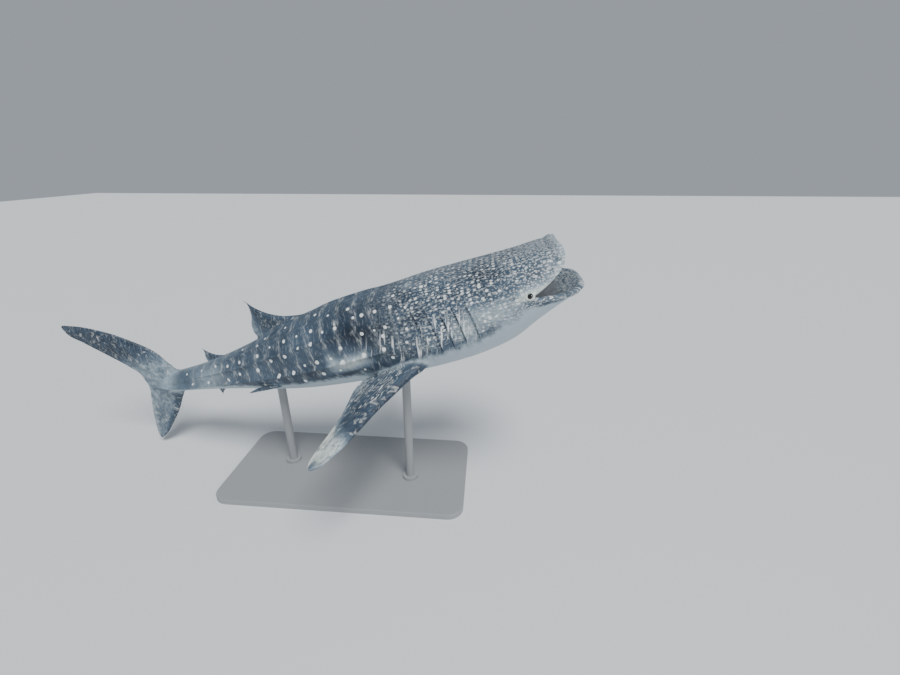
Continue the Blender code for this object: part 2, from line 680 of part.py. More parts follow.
def middle_fins(look):
    fit_to_body(fin("first_dorsal_fin", DORSAL_EDGES, upright_place(DORSAL_STATION, 1), look, *DORSAL_FORM))
    for name, (station, size, lean), out_sign, form in (
        ("second_dorsal_fin", SECOND_DORSAL, 1, SECOND_DORSAL_FORM),
        ("anal_fin", ANAL, -1, ANAL_FORM),
    ):
        fit_to_body(fin(name, dorsal_outline(size, lean), upright_place(station, out_sign), look, *form))


def pelvic_fins(look):
    for side, name in ((1, "pelvic_fin_left"), (-1, "pelvic_fin_right")):
        frame = frame_at(PELVIC_STATION)[1]
        origin = skin(PELVIC_STATION, side * PELVIC_ANGLE)
        way = frame @ (np.array(PELVIC_WAY) * [1, side, 1])
        rear = frame @ (np.array(PELVIC_REAR) * [1, side, 1])
        fit_to_body(fin(name, PELVIC_EDGES, plane_place(origin, way, rear), look, *PELVIC_FORM))


def stalk_end(look):
    """The fleshy end of the stalk, which narrows into the tail fin."""
    root = frame_at(CAUDAL_ROOT)[0]
    angles = girth_angles()
    first = (skin(np.full(len(angles), STALK_END), angles) - root) @ CAUDAL_FRAME
    centre = np.array([first[:, 0].mean(), 0, 0])
    rings = [root + first @ CAUDAL_FRAME.T]
    for share in np.linspace(0, 1, CONE_RINGS)[1:]:
        narrow = np.array([1, smooth(*zip(*CONE_WIDTHS), share), 1 - CONE_HEIGHT_LOSS * share])
        local = centre + (first - centre) * narrow - np.array([CONE_LENGTH * U * share, 0, 0])
        rings.append(root + local @ CAUDAL_FRAME.T)
    return new_object("stalk_end", np.concatenate(rings), ring_faces(len(rings), len(angles)), look)


def caudal_fin(look):
    """The crescent tail fin, joined to the stalk's fleshy end and kept clear of the stalk itself."""
    place = plane_place(frame_at(CAUDAL_ROOT)[0], CAUDAL_FRAME[:, 2], -CAUDAL_FRAME[:, 0])
    blade = fin("caudal_fin", CAUDAL_EDGES, place, look, *CAUDAL_FORM)
    apply_boolean(blade, stalk_end(look), "UNION")
    stations = piece_stations("tail_stalk")[:-1] + [STALK_END + GAP / 2 / U]
    apply_boolean(blade, body_piece("stalk", stations, look, GAP), "DIFFERENCE")


def round_edges(work, edges, offset, steps):
    bmesh.ops.bevel(work, geom=edges, offset=offset, segments=steps, profile=0.5, affect="EDGES")


def rounded_base(look):
    length, width, height = BASE_SIZE
    work = bmesh.new()
    bmesh.ops.create_cube(work, size=1.0)
    bmesh.ops.scale(work, vec=(length, width, height), verts=work.verts)
    bmesh.ops.translate(work, vec=(0, 0, height / 2), verts=work.verts)
    upright = [e for e in work.edges if abs(e.verts[0].co.z - e.verts[1].co.z) > height / 2]
    round_edges(work, upright, BASE_CORNER, CORNER_STEPS)
    top = [e for e in work.edges if all(v.co.z > height - MERGE for v in e.verts)]
    rim = [e for e in top if any(abs(f.normal.z) < 0.5 for f in e.link_faces)]
    round_edges(work, rim, BASE_EDGE, EDGE_STEPS)
    mesh = bpy.data.meshes.new("stand_base")
    work.to_mesh(mesh)
    work.free()
    mesh.materials.append(look)
    mesh.shade_smooth()
    mesh.set_sharp_from_angle(angle=math.radians(30))
    obj = bpy.data.objects.new("stand_base", mesh)
    bpy.context.scene.collection.objects.link(obj)


def stand_rods(look):
    """Two upright rods with collars on the base, their tops shaped to the belly."""
    floor = BASE_SIZE[2] + GAP
    for station, name in zip(ROD_STATIONS, ("stand_rod_front", "stand_rod_rear")):
        centre = frame_at(station)[0]
        bpy.ops.mesh.primitive_cylinder_add(vertices=ROD_SIDES, radius=ROD_RADIUS, depth=centre[2] - floor)
        rod = bpy.context.object
        rod.name = name
        rod.data.transform(Matrix.Translation((centre[0], centre[1], (centre[2] + floor) / 2)))
        bpy.ops.mesh.primitive_cylinder_add(vertices=ROD_SIDES, radius=COLLAR_RADIUS, depth=COLLAR_HEIGHT)
        collar = bpy.context.object
        collar.data.transform(Matrix.Translation((centre[0], centre[1], floor + COLLAR_HEIGHT / 2)))
        rod.data.materials.append(look)
        apply_boolean(rod, collar, "UNION")
        rod.data.shade_smooth()
        rod.data.set_sharp_from_angle(angle=math.radians(35))
        fit_to_body(rod)


def main():
    clear_scene()
    upper = material("upper_skin", SLATE, 0.5)
    belly = material("belly_skin", PALE, 0.5)
    head_and_jaw(upper, belly)
    eyes(material("eye", EYE_BLACK, 0.15))
    for name in BODY_LENGTHS:
        body_piece(name, piece_stations(name), upper)
    pectoral_fins(upper)
    middle_fins(upper)
    pelvic_fins(upper)
    caudal_fin(upper)
    stand = material("stand", STAND_GREY, 0.45)
    rounded_base(stand)
    stand_rods(stand)


main()
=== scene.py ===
import math

import bmesh
import bpy
import numpy as np
from mathutils import Matrix, Vector, kdtree


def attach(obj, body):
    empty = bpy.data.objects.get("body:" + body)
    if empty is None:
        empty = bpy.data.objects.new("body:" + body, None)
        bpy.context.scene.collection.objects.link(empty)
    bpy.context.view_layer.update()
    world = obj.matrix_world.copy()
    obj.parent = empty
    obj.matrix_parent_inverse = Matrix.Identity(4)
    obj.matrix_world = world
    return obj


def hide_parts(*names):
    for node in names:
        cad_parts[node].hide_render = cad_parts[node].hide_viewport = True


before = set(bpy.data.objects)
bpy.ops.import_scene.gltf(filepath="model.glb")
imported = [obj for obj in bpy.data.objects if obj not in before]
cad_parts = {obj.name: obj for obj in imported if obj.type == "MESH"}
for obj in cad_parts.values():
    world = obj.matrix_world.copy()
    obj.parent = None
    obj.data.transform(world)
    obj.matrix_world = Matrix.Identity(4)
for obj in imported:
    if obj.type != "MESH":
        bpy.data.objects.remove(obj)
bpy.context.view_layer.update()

# The animal. Stations and sizes along and across the body are counted in hundredths of its total length.
TOTAL_LENGTH = 6.0
U = TOTAL_LENGTH / 100
NOSE_PITCH = math.radians(22.6)
STRAIGHT_TO = 15.0
# (station, degrees of sideways bend per station), which carries the tail to the animal's left
SIDE_BEND = ((STRAIGHT_TO, 0.0), (22, 0.32), (34, 0.28), (46, 0.22), (58, 0.13), (70, 0.05), (80, 0.03))
# (station, degrees per station by which the body levels out towards the tail)
LEVEL_BEND = ((STRAIGHT_TO, 0.0), (22, 0.05), (34, 0.07), (46, 0.17), (58, 0.20), (70, 0.16), (80, 0.13))

# Body sections: station, half width, height above the spine line, depth below it, upper half's squareness
SECTIONS = (
    (-2, 7.2, 4.0, 2.1, 3.3),
    (0, 7.7, 4.7, 2.9, 3.3),
    (3, 8.1, 4.9, 3.9, 3.2),
    (6, 8.3, 5.1, 5.0, 3.0),
    (10, 8.4, 5.6, 6.7, 2.7),
    (15, 8.3, 6.3, 7.5, 2.4),
    (20, 8.0, 6.9, 7.6, 2.25),
    (26, 7.5, 7.2, 7.3, 2.2),
    (32, 7.0, 7.6, 6.8, 2.15),
    (40, 6.3, 7.6, 6.0, 2.1),
    (46, 5.7, 7.0, 5.3, 2.1),
    (52, 4.9, 5.9, 4.4, 2.1),
    (60, 3.9, 4.5, 3.0, 2.1),
    (70, 2.8, 3.0, 2.1, 2.1),
    (79, 2.1, 2.1, 1.8, 2.1),
    (90, 0.5, 1.2, 1.2, 2.0),
)
BELLY_SQUARENESS = 2.3

# Angles round the body are in degrees from the middle of the back, 90 at the flanks and 180 at the belly.
# Ridges along each side: (angle, height, first station, last station)
RIDGES = ((0, 0.30, 24, 42), (38, 0.34, 20, 68), (63, 0.34, 17, 72), (94, 0.42, 25, 78))
RIDGE_HALF_WIDTH, RIDGE_FADE = 2.6, 6.0
# The keel along each side of the tail stalk
KEEL_ANGLE, KEEL_HEIGHT, KEEL_HALF_WIDTH = 94, 0.75, 6.76
KEEL_RISE, KEEL_FALL = (60, 74), (82, 87)

# The mouth. The lip's station is a function of the angle.
CORNER_STATION = 6.4
UPPER_LIP_POWER, UPPER_LIP_DENT = 2.5, 0.5
JAW_TIP_STATION, LOWER_LIP_POWER = -1.2, 1.7
LIP_RADIUS, LIP_SWELL = 0.42, 0.16
LIP_BACK, CREASE_BACK, FOLD_WIDTH, CREASE_DEPTH = 0.55, 1.55, 0.4, 0.112
MOUTH_DEPTH_STATION = 17.0
CAVITY_SQUARENESS, CAVITY_START, WALL_FULL_SHARE, THROAT_BLUNTNESS = 2.4, 0.3, 0.6, 5
WALL_TOP, WALL_SIDE, WALL_BOTTOM = 2.9, 1.9, 1.3

EYE_STATION, EYE_ANGLE, EYE_RADIUS, EYE_SINK = 6.2, 86.0, 0.48, 0.20
LID_RADIUS, LID_WIDTH = 0.52, 0.17
EYE_FACETS, LID_FACETS, PIT_FACETS = (48, 24), (64, 20), (40, 20)
SPIRACLE_STATION, SPIRACLE_ANGLE, SPIRACLE_SIZE = 8.6, 82.0, (0.40, 0.28, 0.36)
NOSTRIL_ANGLE, NOSTRIL_BACK, NOSTRIL_SIZE = 52.0, 0.75, (0.75, 0.32, 0.42)

GILL_SLITS = (14.4, 16.4, 18.3, 20.1, 21.8)
GILL_TOP, GILL_BOTTOM, GILL_FADE, GILL_LIFT, GILL_GROOVE = 57.0, 131.0, 16.0, 0.24, 0.20
# Each slit bows back above and below its middle, and each flap starts behind the slit in front
GILL_MIDDLE, GILL_SPREAD, GILL_BOW = 94.0, 30.0, 0.5
FLAP_LEAD, FLAP_START = 2.2, 0.3
FLAP_EDGE, GROOVE_END, GROOVE_REACH = (-0.02, 0.10), (0.15, 0.9), 1.0

HEAD_END, STALK_END, CAUDAL_ROOT = 23.0, 79.0, 78.5
# The gap round an eye in its socket, in metres
GAP = 0.0003

# The stand's rods are under the origin and the tail clears the floor, as in the solids
ROD_STATIONS = (27.0, 53.0)
TAIL_CLEARANCE = 0.07


def smooth(knots, values, x):
    """Cubic through the knots, flat-ended, with the slopes of a Catmull-Rom spline."""
    knots, values = np.asarray(knots, float), np.asarray(values, float)
    slopes = np.gradient(values, knots)
    x = np.clip(np.asarray(x, float), knots[0], knots[-1])
    i = np.clip(np.searchsorted(knots, x, side="right") - 1, 0, len(knots) - 2)
    step = knots[i + 1] - knots[i]
    t = (x - knots[i]) / step
    rise = t * t * (3 - 2 * t)
    bend_in = t * (1 - t) ** 2 * step * slopes[i]
    bend_out = -(t**2) * (1 - t) * step * slopes[i + 1]
    return values[i] + (values[i + 1] - values[i]) * rise + bend_in + bend_out


def ramp(x, start, end):
    """0 before start, 1 after end, and a smooth step between."""
    t = np.clip((np.asarray(x, float) - start) / (end - start), 0, 1)
    return t * t * (3 - 2 * t)


def window(x, start, end, fade):
    return ramp(x, start, start + fade) * (1 - ramp(x, end - fade, end))


def table(rows, column, at):
    """A column of a table, smoothly between its rows."""
    return smooth([row[0] for row in rows], [row[column] for row in rows], at)


def turned(axis, angle):
    return np.array(Matrix.Rotation(angle, 3, axis))


SPINE_STEP = 0.5
SPINE_STATIONS = np.arange(0, 90.1, SPINE_STEP)


def spine_frames():
    """The spine line from the nose's station at the origin, and its frames: forward, left, up."""
    points, frames = [np.zeros(3)], [turned("Y", -NOSE_PITCH)]
    for station in SPINE_STATIONS[1:] - SPINE_STEP / 2:
        side = np.interp(station, *zip(*SIDE_BEND), left=0)
        level = np.interp(station, *zip(*LEVEL_BEND), left=0)
        bend = turned("Z", -math.radians(side * SPINE_STEP)) @ turned("Y", math.radians(level * SPINE_STEP))
        frames.append(frames[-1] @ bend)
        points.append(points[-1] - frames[-1][:, 0] * SPINE_STEP * U)
    return np.array(points), np.array(frames)


SPINE_POINTS, SPINE_FRAMES = spine_frames()
CAUDAL_TURN = math.radians(14.7)
CAUDAL_FRAME = SPINE_FRAMES[int(CAUDAL_ROOT / SPINE_STEP)] @ turned("Z", CAUDAL_TURN)
LOWER_TIP = (10.8, -11.6)


def frame_at(stations):
    """Centre points and frames at these stations. Before station 0 the line runs straight on."""
    stations = np.asarray(stations, float)
    place = np.clip(stations / SPINE_STEP, 0, len(SPINE_STATIONS) - 1.001)
    i = place.astype(int)
    t = (place - i)[..., None]
    points = SPINE_POINTS[i] * (1 - t) + SPINE_POINTS[i + 1] * t
    points = points - SPINE_FRAMES[0][:, 0] * (np.minimum(stations, 0) * U)[..., None]
    frames = SPINE_FRAMES[i] * (1 - t[..., None]) + SPINE_FRAMES[i + 1] * t[..., None]
    return points, frames


def placed_origin():
    """Where the nose's station goes: the tail clears the floor and the rods stand about the middle."""
    end = frame_at(CAUDAL_ROOT)[0]
    tip = end + CAUDAL_FRAME @ (np.array([-LOWER_TIP[0], 0, LOWER_TIP[1]]) * U)
    rods = frame_at(ROD_STATIONS)[0].mean(axis=0)
    return np.array([-rods[0], -rods[1], TAIL_CLEARANCE - tip[2]])


SPINE_POINTS = SPINE_POINTS + placed_origin()


def lip_station(angles):
    """The station of the lip's edge at each angle."""
    fall = np.cos(np.radians(angles))
    above, below = np.clip(fall, 0, 1), np.clip(-fall, 0, 1)
    upper = CORNER_STATION * (1 - above) ** UPPER_LIP_POWER + UPPER_LIP_DENT * above**4
    reach = CORNER_STATION - JAW_TIP_STATION
    lower = JAW_TIP_STATION + reach * (1 - below) ** LOWER_LIP_POWER
    return np.where(fall >= 0, upper, lower)


def ridge_lift(stations, angles):
    lift = np.zeros(np.broadcast(stations, angles).shape)
    away = np.abs(angles)
    for angle, height, first, last in RIDGES:
        shape = np.exp(-(((away - angle) / RIDGE_HALF_WIDTH) ** 2))
        lift = lift + height * shape * window(stations, first, last, RIDGE_FADE)
    keel = np.exp(-(((away - KEEL_ANGLE) / KEEL_HALF_WIDTH) ** 2))
    return lift + KEEL_HEIGHT * keel * ramp(stations, *KEEL_RISE) * (1 - ramp(stations, *KEEL_FALL))


def gill_lift(stations, angles):
    """Each flap rises towards its slit and drops into a groove behind its edge."""
    away = np.abs(angles)
    lift = np.zeros(np.broadcast(stations, angles).shape)
    start = GILL_SLITS[0] - FLAP_LEAD
    for slit in GILL_SLITS:
        bow = slit + GILL_BOW * ((away - GILL_MIDDLE) / GILL_SPREAD) ** 2
        rise = np.clip((stations - start) / (bow - start), 0, 1)
        drop = ramp(stations - bow, *FLAP_EDGE)
        groove = drop * (1 - ramp(stations - bow, *GROOVE_END))
        inside = (stations > start) & (stations <= bow + GROOVE_REACH)
        lift = np.where(inside, GILL_LIFT * rise**2 * (1 - drop) - GILL_GROOVE * groove, lift)
        start = slit + FLAP_START
    return lift * window(away, GILL_TOP, GILL_BOTTOM, GILL_FADE)


def lip_lift(stations, angles):
    """A rounded lip along the mouth's edge with a crease behind it."""
    back = np.asarray(stations) - lip_station(angles)
    rim = np.exp(-(((back - LIP_BACK) / FOLD_WIDTH) ** 2))
    crease = np.exp(-(((back - CREASE_BACK) / FOLD_WIDTH) ** 2))
    return LIP_SWELL * rim - CREASE_DEPTH * crease


def round_section(angles, power):
    """Across and up on a rounded square of half size 1, and the same for a circle."""
    turned = np.radians(angles)
    across, up = np.sin(turned), np.cos(turned)
    round_off = (np.abs(across) ** power + np.abs(up) ** power) ** (-1 / power)
    return across * round_off, up * round_off, across, up


def skin(stations, angles, swell=0.0):
    """Points of the outer skin, moved out by swell in metres."""
    stations, angles = np.broadcast_arrays(np.asarray(stations, float), np.asarray(angles, float))
    power = table(SECTIONS, 4, stations)
    power = np.where(np.abs(angles) <= 90, power, np.minimum(power, BELLY_SQUARENESS))
    wide, high, across, up = round_section(angles, power)
    width, top, bottom = (table(SECTIONS, k, stations) for k in (1, 2, 3))
    height = np.where(up >= 0, top, bottom)
    lift = ridge_lift(stations, angles) + gill_lift(stations, angles) + lip_lift(stations, angles)
    outward = np.stack([across / width, up / height], axis=-1)
    outward /= np.linalg.norm(outward, axis=-1, keepdims=True)
    y = (wide * width + outward[..., 0] * lift) * U + outward[..., 0] * swell
    z = (high * height + outward[..., 1] * lift) * U + outward[..., 1] * swell
    centre, frames = frame_at(stations)
    local = np.stack([np.zeros_like(y), y, z], axis=-1)
    return centre + np.einsum("...ij,...j->...i", frames, local)


def cavity(share, angles):
    """Points of the mouth's inner wall: share 0 is behind the lip and 1 is the throat."""
    first = lip_station(angles) + CAVITY_START
    stations = first + (MOUTH_DEPTH_STATION - first) * share
    wide, high, _, up = round_section(angles, CAVITY_SQUARENESS)
    lip_wall, grow = 2 * LIP_RADIUS, ramp(share, 0.0, WALL_FULL_SHARE)
    walls = (WALL_SIDE, WALL_TOP, WALL_BOTTOM)
    side, top, bottom = (
        table(SECTIONS, k, stations) - lip_wall - (wall - lip_wall) * grow for k, wall in zip((1, 2, 3), walls)
    )
    close = np.sqrt(np.clip(1 - share**THROAT_BLUNTNESS, 0, 1))
    y = wide * side * close
    z = high * np.where(up >= 0, top, bottom) * close
    centre, frames = frame_at(stations)
    local = np.stack([np.zeros_like(y), y, z], axis=-1) * U
    return centre + np.einsum("...ij,...j->...i", frames, local)


def surface_frame(station, angle):
    """A point of the skin with its axes: backward along the body, up round it, and outward."""
    here = skin(station, angle)
    back = skin(station + 0.4, angle) - here
    back /= np.linalg.norm(back)
    upward = skin(station, angle - math.copysign(3.0, angle)) - here
    out = np.cross(back, upward)
    out /= np.linalg.norm(out)
    if out @ (here - frame_at(station)[0]) < 0:
        out = -out
    return here, np.stack([back, np.cross(out, back), out], axis=1)


def eye_place(side):
    here, axes = surface_frame(EYE_STATION, side * EYE_ANGLE)
    return here - axes[:, 2] * EYE_SINK * U, axes


def foil(chord):
    """Half thickness of a fin's section along its chord, as a share of the greatest."""
    chord = np.asarray(chord, float)
    shape = 1.4845 * np.sqrt(chord) - 0.63 * chord - 1.758 * chord**2 + 1.4215 * chord**3 - 0.518 * chord**4
    return np.clip(shape, 0, None) * 2


# Half the least thickness of a fin's trailing edge, and the chord from which it holds
EDGE_HALF, EDGE_CHORD = 0.05, 1.5
# The greatest thickness as a share of the chord, and how closely the sections gather towards the tip
THICKEST_SHARE, TIP_CLOSENESS = 0.45, 0.9


# Edges of each fin: (share, leading out, leading back, trailing out, trailing back)
PECTORAL_EDGES = (
    (0.00, 0.0, 0.0, 4.7, 5.6),
    (0.15, 3.4, 0.3, 7.2, 8.3),
    (0.30, 6.8, -0.1, 9.8, 8.0),
    (0.45, 10.2, -0.5, 12.1, 6.2),
    (0.60, 13.4, -1.2, 14.6, 4.2),
    (0.75, 16.6, -1.9, 17.5, 2.6),
    (0.88, 19.4, -2.2, 20.0, 1.4),
    (0.96, 21.3, -1.9, 21.7, 0.3),
    (1.00, 22.2, -1.1, 22.3, -0.6),
)
PECTORAL_STATION, PECTORAL_ANGLE = 23.2, 128.0
PECTORAL_WAY, PECTORAL_REAR = (-15.7, 14.85, -2.33), (-7.25, -0.75, 0.25)
DORSAL_EDGES = (
    (0.0, 0.0, 0.0, 0.0, 11.1),
    (0.2, 0.6, 3.4, 1.2, 10.7),
    (0.4, 1.6, 5.9, 2.4, 9.9),
    (0.6, 2.8, 7.7, 3.6, 9.5),
    (0.8, 4.0, 8.9, 4.6, 9.4),
    (0.93, 4.9, 9.4, 5.1, 9.6),
    (1.0, 5.3, 9.7, 5.35, 9.9),
)
# The second dorsal and anal fins repeat the first dorsal's outline: station, size, extra lean back
DORSAL_STATION = 42.7
SECOND_DORSAL = (63.6, 0.42, 0.15)
ANAL = (65.6, 0.34, 0.25)
BACK_REACH = 6
PELVIC_EDGES = (
    (0.0, 0.0, 0.0, 1.4, 4.2),
    (0.3, 1.1, 1.2, 2.1, 5.0),
    (0.6, 2.1, 2.4, 2.9, 5.1),
    (0.85, 3.0, 3.7, 3.5, 5.0),
    (1.0, 3.7, 4.7, 3.8, 5.0),
)
PELVIC_STATION, PELVIC_ANGLE = 50.0, 119.0
PELVIC_WAY, PELVIC_REAR = (-0.45, 0.88, 0.08), (-1.0, -0.12, 0.05)
# The tail fin: (share from the lower tip to the upper, leading up, leading back, trailing up, trailing back)
CAUDAL_EDGES = (
    (0.00, -11.5, 10.5, -11.4, 10.8),
    (0.06, -10.9, 9.0, -10.2, 10.7),
    (0.14, -9.0, 6.6, -8.2, 10.1),
    (0.24, -6.1, 3.4, -5.4, 9.1),
    (0.34, -3.2, 0.9, -2.8, 8.0),
    (0.42, -1.0, -1.4, -0.8, 7.2),
    (0.50, 1.4, -1.4, 1.2, 6.9),
    (0.58, 4.0, 0.2, 3.2, 6.9),
    (0.68, 7.0, 1.6, 5.6, 8.4),
    (0.80, 10.4, 5.0, 9.0, 11.3),
    (0.90, 13.6, 9.4, 12.4, 14.3),
    (0.97, 15.8, 13.8, 14.9, 16.4),
    (1.00, 16.6, 16.2, 16.4, 16.7),
)


def scaled(edges, size, lean=0.0):
    rows = np.array(edges)
    rows[:, (2, 4)] += lean * rows[:, (1, 3)]
    rows[:, 1:] *= size
    return rows.tolist()


# The skin's own resolution: points round the body, and rings along each length of it
AROUND = 288
GILL_STEP, BODY_STEP = 0.055, 0.2
FRONT_RINGS, LIP_RINGS, CAVITY_RINGS = 74, 10, 64
# Rings gather towards the lips. Those over the gills follow the slits' bow, up to a limit.
FRONT_CLOSENESS, GILL_BOW_LIMIT, BOW_FADE = 1.15, 1.6, 1.2
# The stalk's fleshy end, with its width as a share of the stalk's at each share of its length
CONE_RINGS, CONE_LENGTH, CONE_FLATTENING = 30, 5.2, 0.35
CONE_WIDTHS = ((0, 1), (0.25, 0.728), (0.5, 0.465), (0.75, 0.238), (1, 0.14))
# Depth in the mouth runs from 0 outside to 1 at the throat: the lip's inner edge, and the wall's front
LIP_INSIDE, WALL_INSIDE = 0.02, 0.03


def body_angles():
    """Angles right round the body from the mid back, down the left side and up the right."""
    turn = np.arange(AROUND) * 360.0 / AROUND
    return np.where(turn > 180, turn - 360, turn)


def gill_bow(angles):
    return GILL_BOW * np.minimum(((np.abs(angles) - GILL_MIDDLE) / GILL_SPREAD) ** 2, GILL_BOW_LIMIT)


def cone_ring(share, angles):
    """A ring of the stalk's fleshy end, which flattens into the tail fin."""
    root = frame_at(CAUDAL_ROOT)[0]
    local = (skin(np.full(len(angles), STALK_END), angles) - root) @ CAUDAL_FRAME
    centre = np.array([local[:, 0].mean(), 0, 0])
    shrink = np.array([1, table(CONE_WIDTHS, 1, share), 1 - CONE_FLATTENING * share])
    squeezed = centre + (local - centre) * shrink
    return root + (squeezed - np.array([CONE_LENGTH * U * share, 0, 0])) @ CAUDAL_FRAME.T


def body_rings():
    """Rings of the closed body from the tail's fleshy end to the lips and down the mouth to the throat.

    Each ring comes with its station and its depth in the mouth.
    """
    angles = body_angles()
    around = len(angles)
    lips = lip_station(angles)
    bow = gill_bow(angles)
    rings, stations, inside = [], [], []

    def add(points, station, depth=0.0):
        rings.append(points)
        stations.append(np.broadcast_to(np.asarray(station, float), around))
        inside.append(np.broadcast_to(np.asarray(depth, float), around))

    for share in np.linspace(1, 0, CONE_RINGS, endpoint=False):
        add(cone_ring(share, angles), STALK_END + CONE_LENGTH * share)
    for station in np.arange(STALK_END, HEAD_END, -BODY_STEP):
        add(skin(np.full(around, station), angles), station)
    before_gills = GILL_SLITS[0] - FLAP_LEAD
    for station in np.arange(HEAD_END, before_gills, -GILL_STEP):
        here = station + bow * window(station, before_gills, HEAD_END, BOW_FADE)
        add(skin(here, angles), here)
    for share in np.linspace(1, 0, FRONT_RINGS):
        here = lips + (before_gills - lips) * share**FRONT_CLOSENESS
        add(skin(here, angles), here)
    outer, inner = rings[-1], cavity(np.zeros(around), angles)
    forward = frame_at(0)[1][:, 0]
    for turn in np.linspace(0, math.pi, LIP_RINGS)[1:-1]:
        middle = (outer + inner) / 2 + (outer - inner) / 2 * math.cos(turn)
        add(middle + forward * LIP_RADIUS * U * math.sin(turn), lips, LIP_INSIDE * turn / math.pi)
    for share in np.linspace(0, 1, CAVITY_RINGS, endpoint=False):
        add(cavity(np.full(around, share), angles), lips, WALL_INSIDE + (1 - WALL_INSIDE) * share)
    return np.array(rings), np.array(stations), np.array(inside), angles


def mesh_object(name, points, faces):
    mesh = bpy.data.meshes.new(name)
    mesh.from_pydata(np.asarray(points).tolist(), [], faces)
    mesh.update()
    obj = bpy.data.objects.new(name, mesh)
    bpy.context.scene.collection.objects.link(obj)
    return obj


def solid(name, points, faces):
    """A closed shape whose faces all look outward."""
    obj = mesh_object(name, points, faces)
    work = bmesh.new()
    work.from_mesh(obj.data)
    bmesh.ops.recalc_face_normals(work, faces=work.faces)
    work.to_mesh(obj.data)
    work.free()
    return obj


def boolean(obj, other, operation):
    step = obj.modifiers.new(operation.title(), "BOOLEAN")
    step.operation = operation
    step.solver = "MANIFOLD"
    step.object = other
    bpy.context.view_layer.update()
    shape = bpy.data.meshes.new_from_object(obj.evaluated_get(bpy.context.evaluated_depsgraph_get()))
    obj.modifiers.clear()
    obj.data = shape
    bpy.data.objects.remove(other)


def quad(low, high, k, n):
    """A face between two rings of points that start at low and high, from their kth point to their nth."""
    return low + k, low + n, high + n, high + k


def ring_faces(rings, around, first_middle, last_middle):
    """Faces of stacked rings, closed at each end by a fan round a middle point."""
    turn = [(k, (k + 1) % around) for k in range(around)]
    faces = [quad(r * around, (r + 1) * around, k, n) for r in range(rings - 1) for k, n in turn]
    top = (rings - 1) * around
    for k, n in turn:
        faces.append((n, k, first_middle))
        faces.append((top + k, top + n, last_middle))
    return faces


def ball(centre, axes, size, facets):
    """Points and faces of an ellipsoid with these half sizes along the columns of axes."""
    work = bmesh.new()
    bmesh.ops.create_uvsphere(work, u_segments=facets[0], v_segments=facets[1], radius=1.0)
    work.verts.index_update()
    stretch = axes * np.array(size)
    points = [centre + stretch @ np.array(v.co) for v in work.verts]
    faces = [tuple(v.index for v in f.verts) for f in work.faces]
    work.free()
    return points, faces


def torus(centre, axes, major, minor, facets):
    around, section = facets
    points = []
    for turn in np.linspace(0, 2 * math.pi, around, endpoint=False):
        middle = np.array([math.cos(turn), math.sin(turn), 0])
        for tilt in np.linspace(0, 2 * math.pi, section, endpoint=False):
            local = middle * (major + minor * math.cos(tilt)) + np.array([0, 0, minor * math.sin(tilt)])
            points.append(centre + axes @ local)
    turn = [(k, (k + 1) % section) for k in range(section)]
    starts = [(r * section, (r + 1) % around * section) for r in range(around)]
    faces = [quad(low, high, k, n) for low, high in starts for k, n in turn]
    return points, faces


def eye_shape(side, radius):
    centre, axes = eye_place(side)
    return ball(centre, axes, (radius, radius, radius), EYE_FACETS)


def eyelid(side):
    centre, axes = eye_place(side)
    centre = centre + axes[:, 2] * EYE_SINK * U
    return solid("lid", *torus(centre, axes, LID_RADIUS * U, LID_WIDTH * U, LID_FACETS))


def pit_shapes():
    """Cutters for the eye sockets, the spiracles and the nostrils."""
    for side in (1, -1):
        yield solid("pit", *eye_shape(side, EYE_RADIUS * U + GAP))
        here, axes = surface_frame(SPIRACLE_STATION, side * SPIRACLE_ANGLE)
        yield solid("pit", *ball(here, axes, np.array(SPIRACLE_SIZE) * U, PIT_FACETS))
        angle = side * NOSTRIL_ANGLE
        here, axes = surface_frame(float(lip_station(angle)) + NOSTRIL_BACK, angle)
        yield solid("pit", *ball(here, axes, np.array(NOSTRIL_SIZE) * U, PIT_FACETS))


# A fin's mesh: points along each chord, sections from root to tip, and sections sunk in the body
CHORD_POINTS, FIN_SECTIONS, CAUDAL_SECTIONS, SUNK_SECTIONS = 30, 72, 150, 8
# The share of the chord over which the least thickness of the edge sets in
EDGE_RISE = 0.1
# Each fin's blade: how deep its root is sunk in the body, and its (share, thickness) from root to tip
PECTORAL_BLADE = (3.0, ((0, 2.3), (0.3, 1.7), (0.7, 0.9), (1.0, 0.25)))
DORSAL_BLADE = (2.6, ((0, 1.3), (0.5, 0.8), (1.0, 0.2)))
SMALL_THICKNESS = ((0, 0.6), (0.5, 0.4), (1.0, 0.14))
SECOND_BLADE, ANAL_BLADE = (1.4, SMALL_THICKNESS), (1.2, SMALL_THICKNESS)
PELVIC_BLADE = (1.6, ((0, 0.9), (0.5, 0.5), (1.0, 0.15)))
CAUDAL_BLADE = (0, ((0, 0.25), (0.15, 0.55), (0.4, 1.5), (0.5, 1.9), (0.6, 1.7), (0.8, 0.9), (1.0, 0.25)))



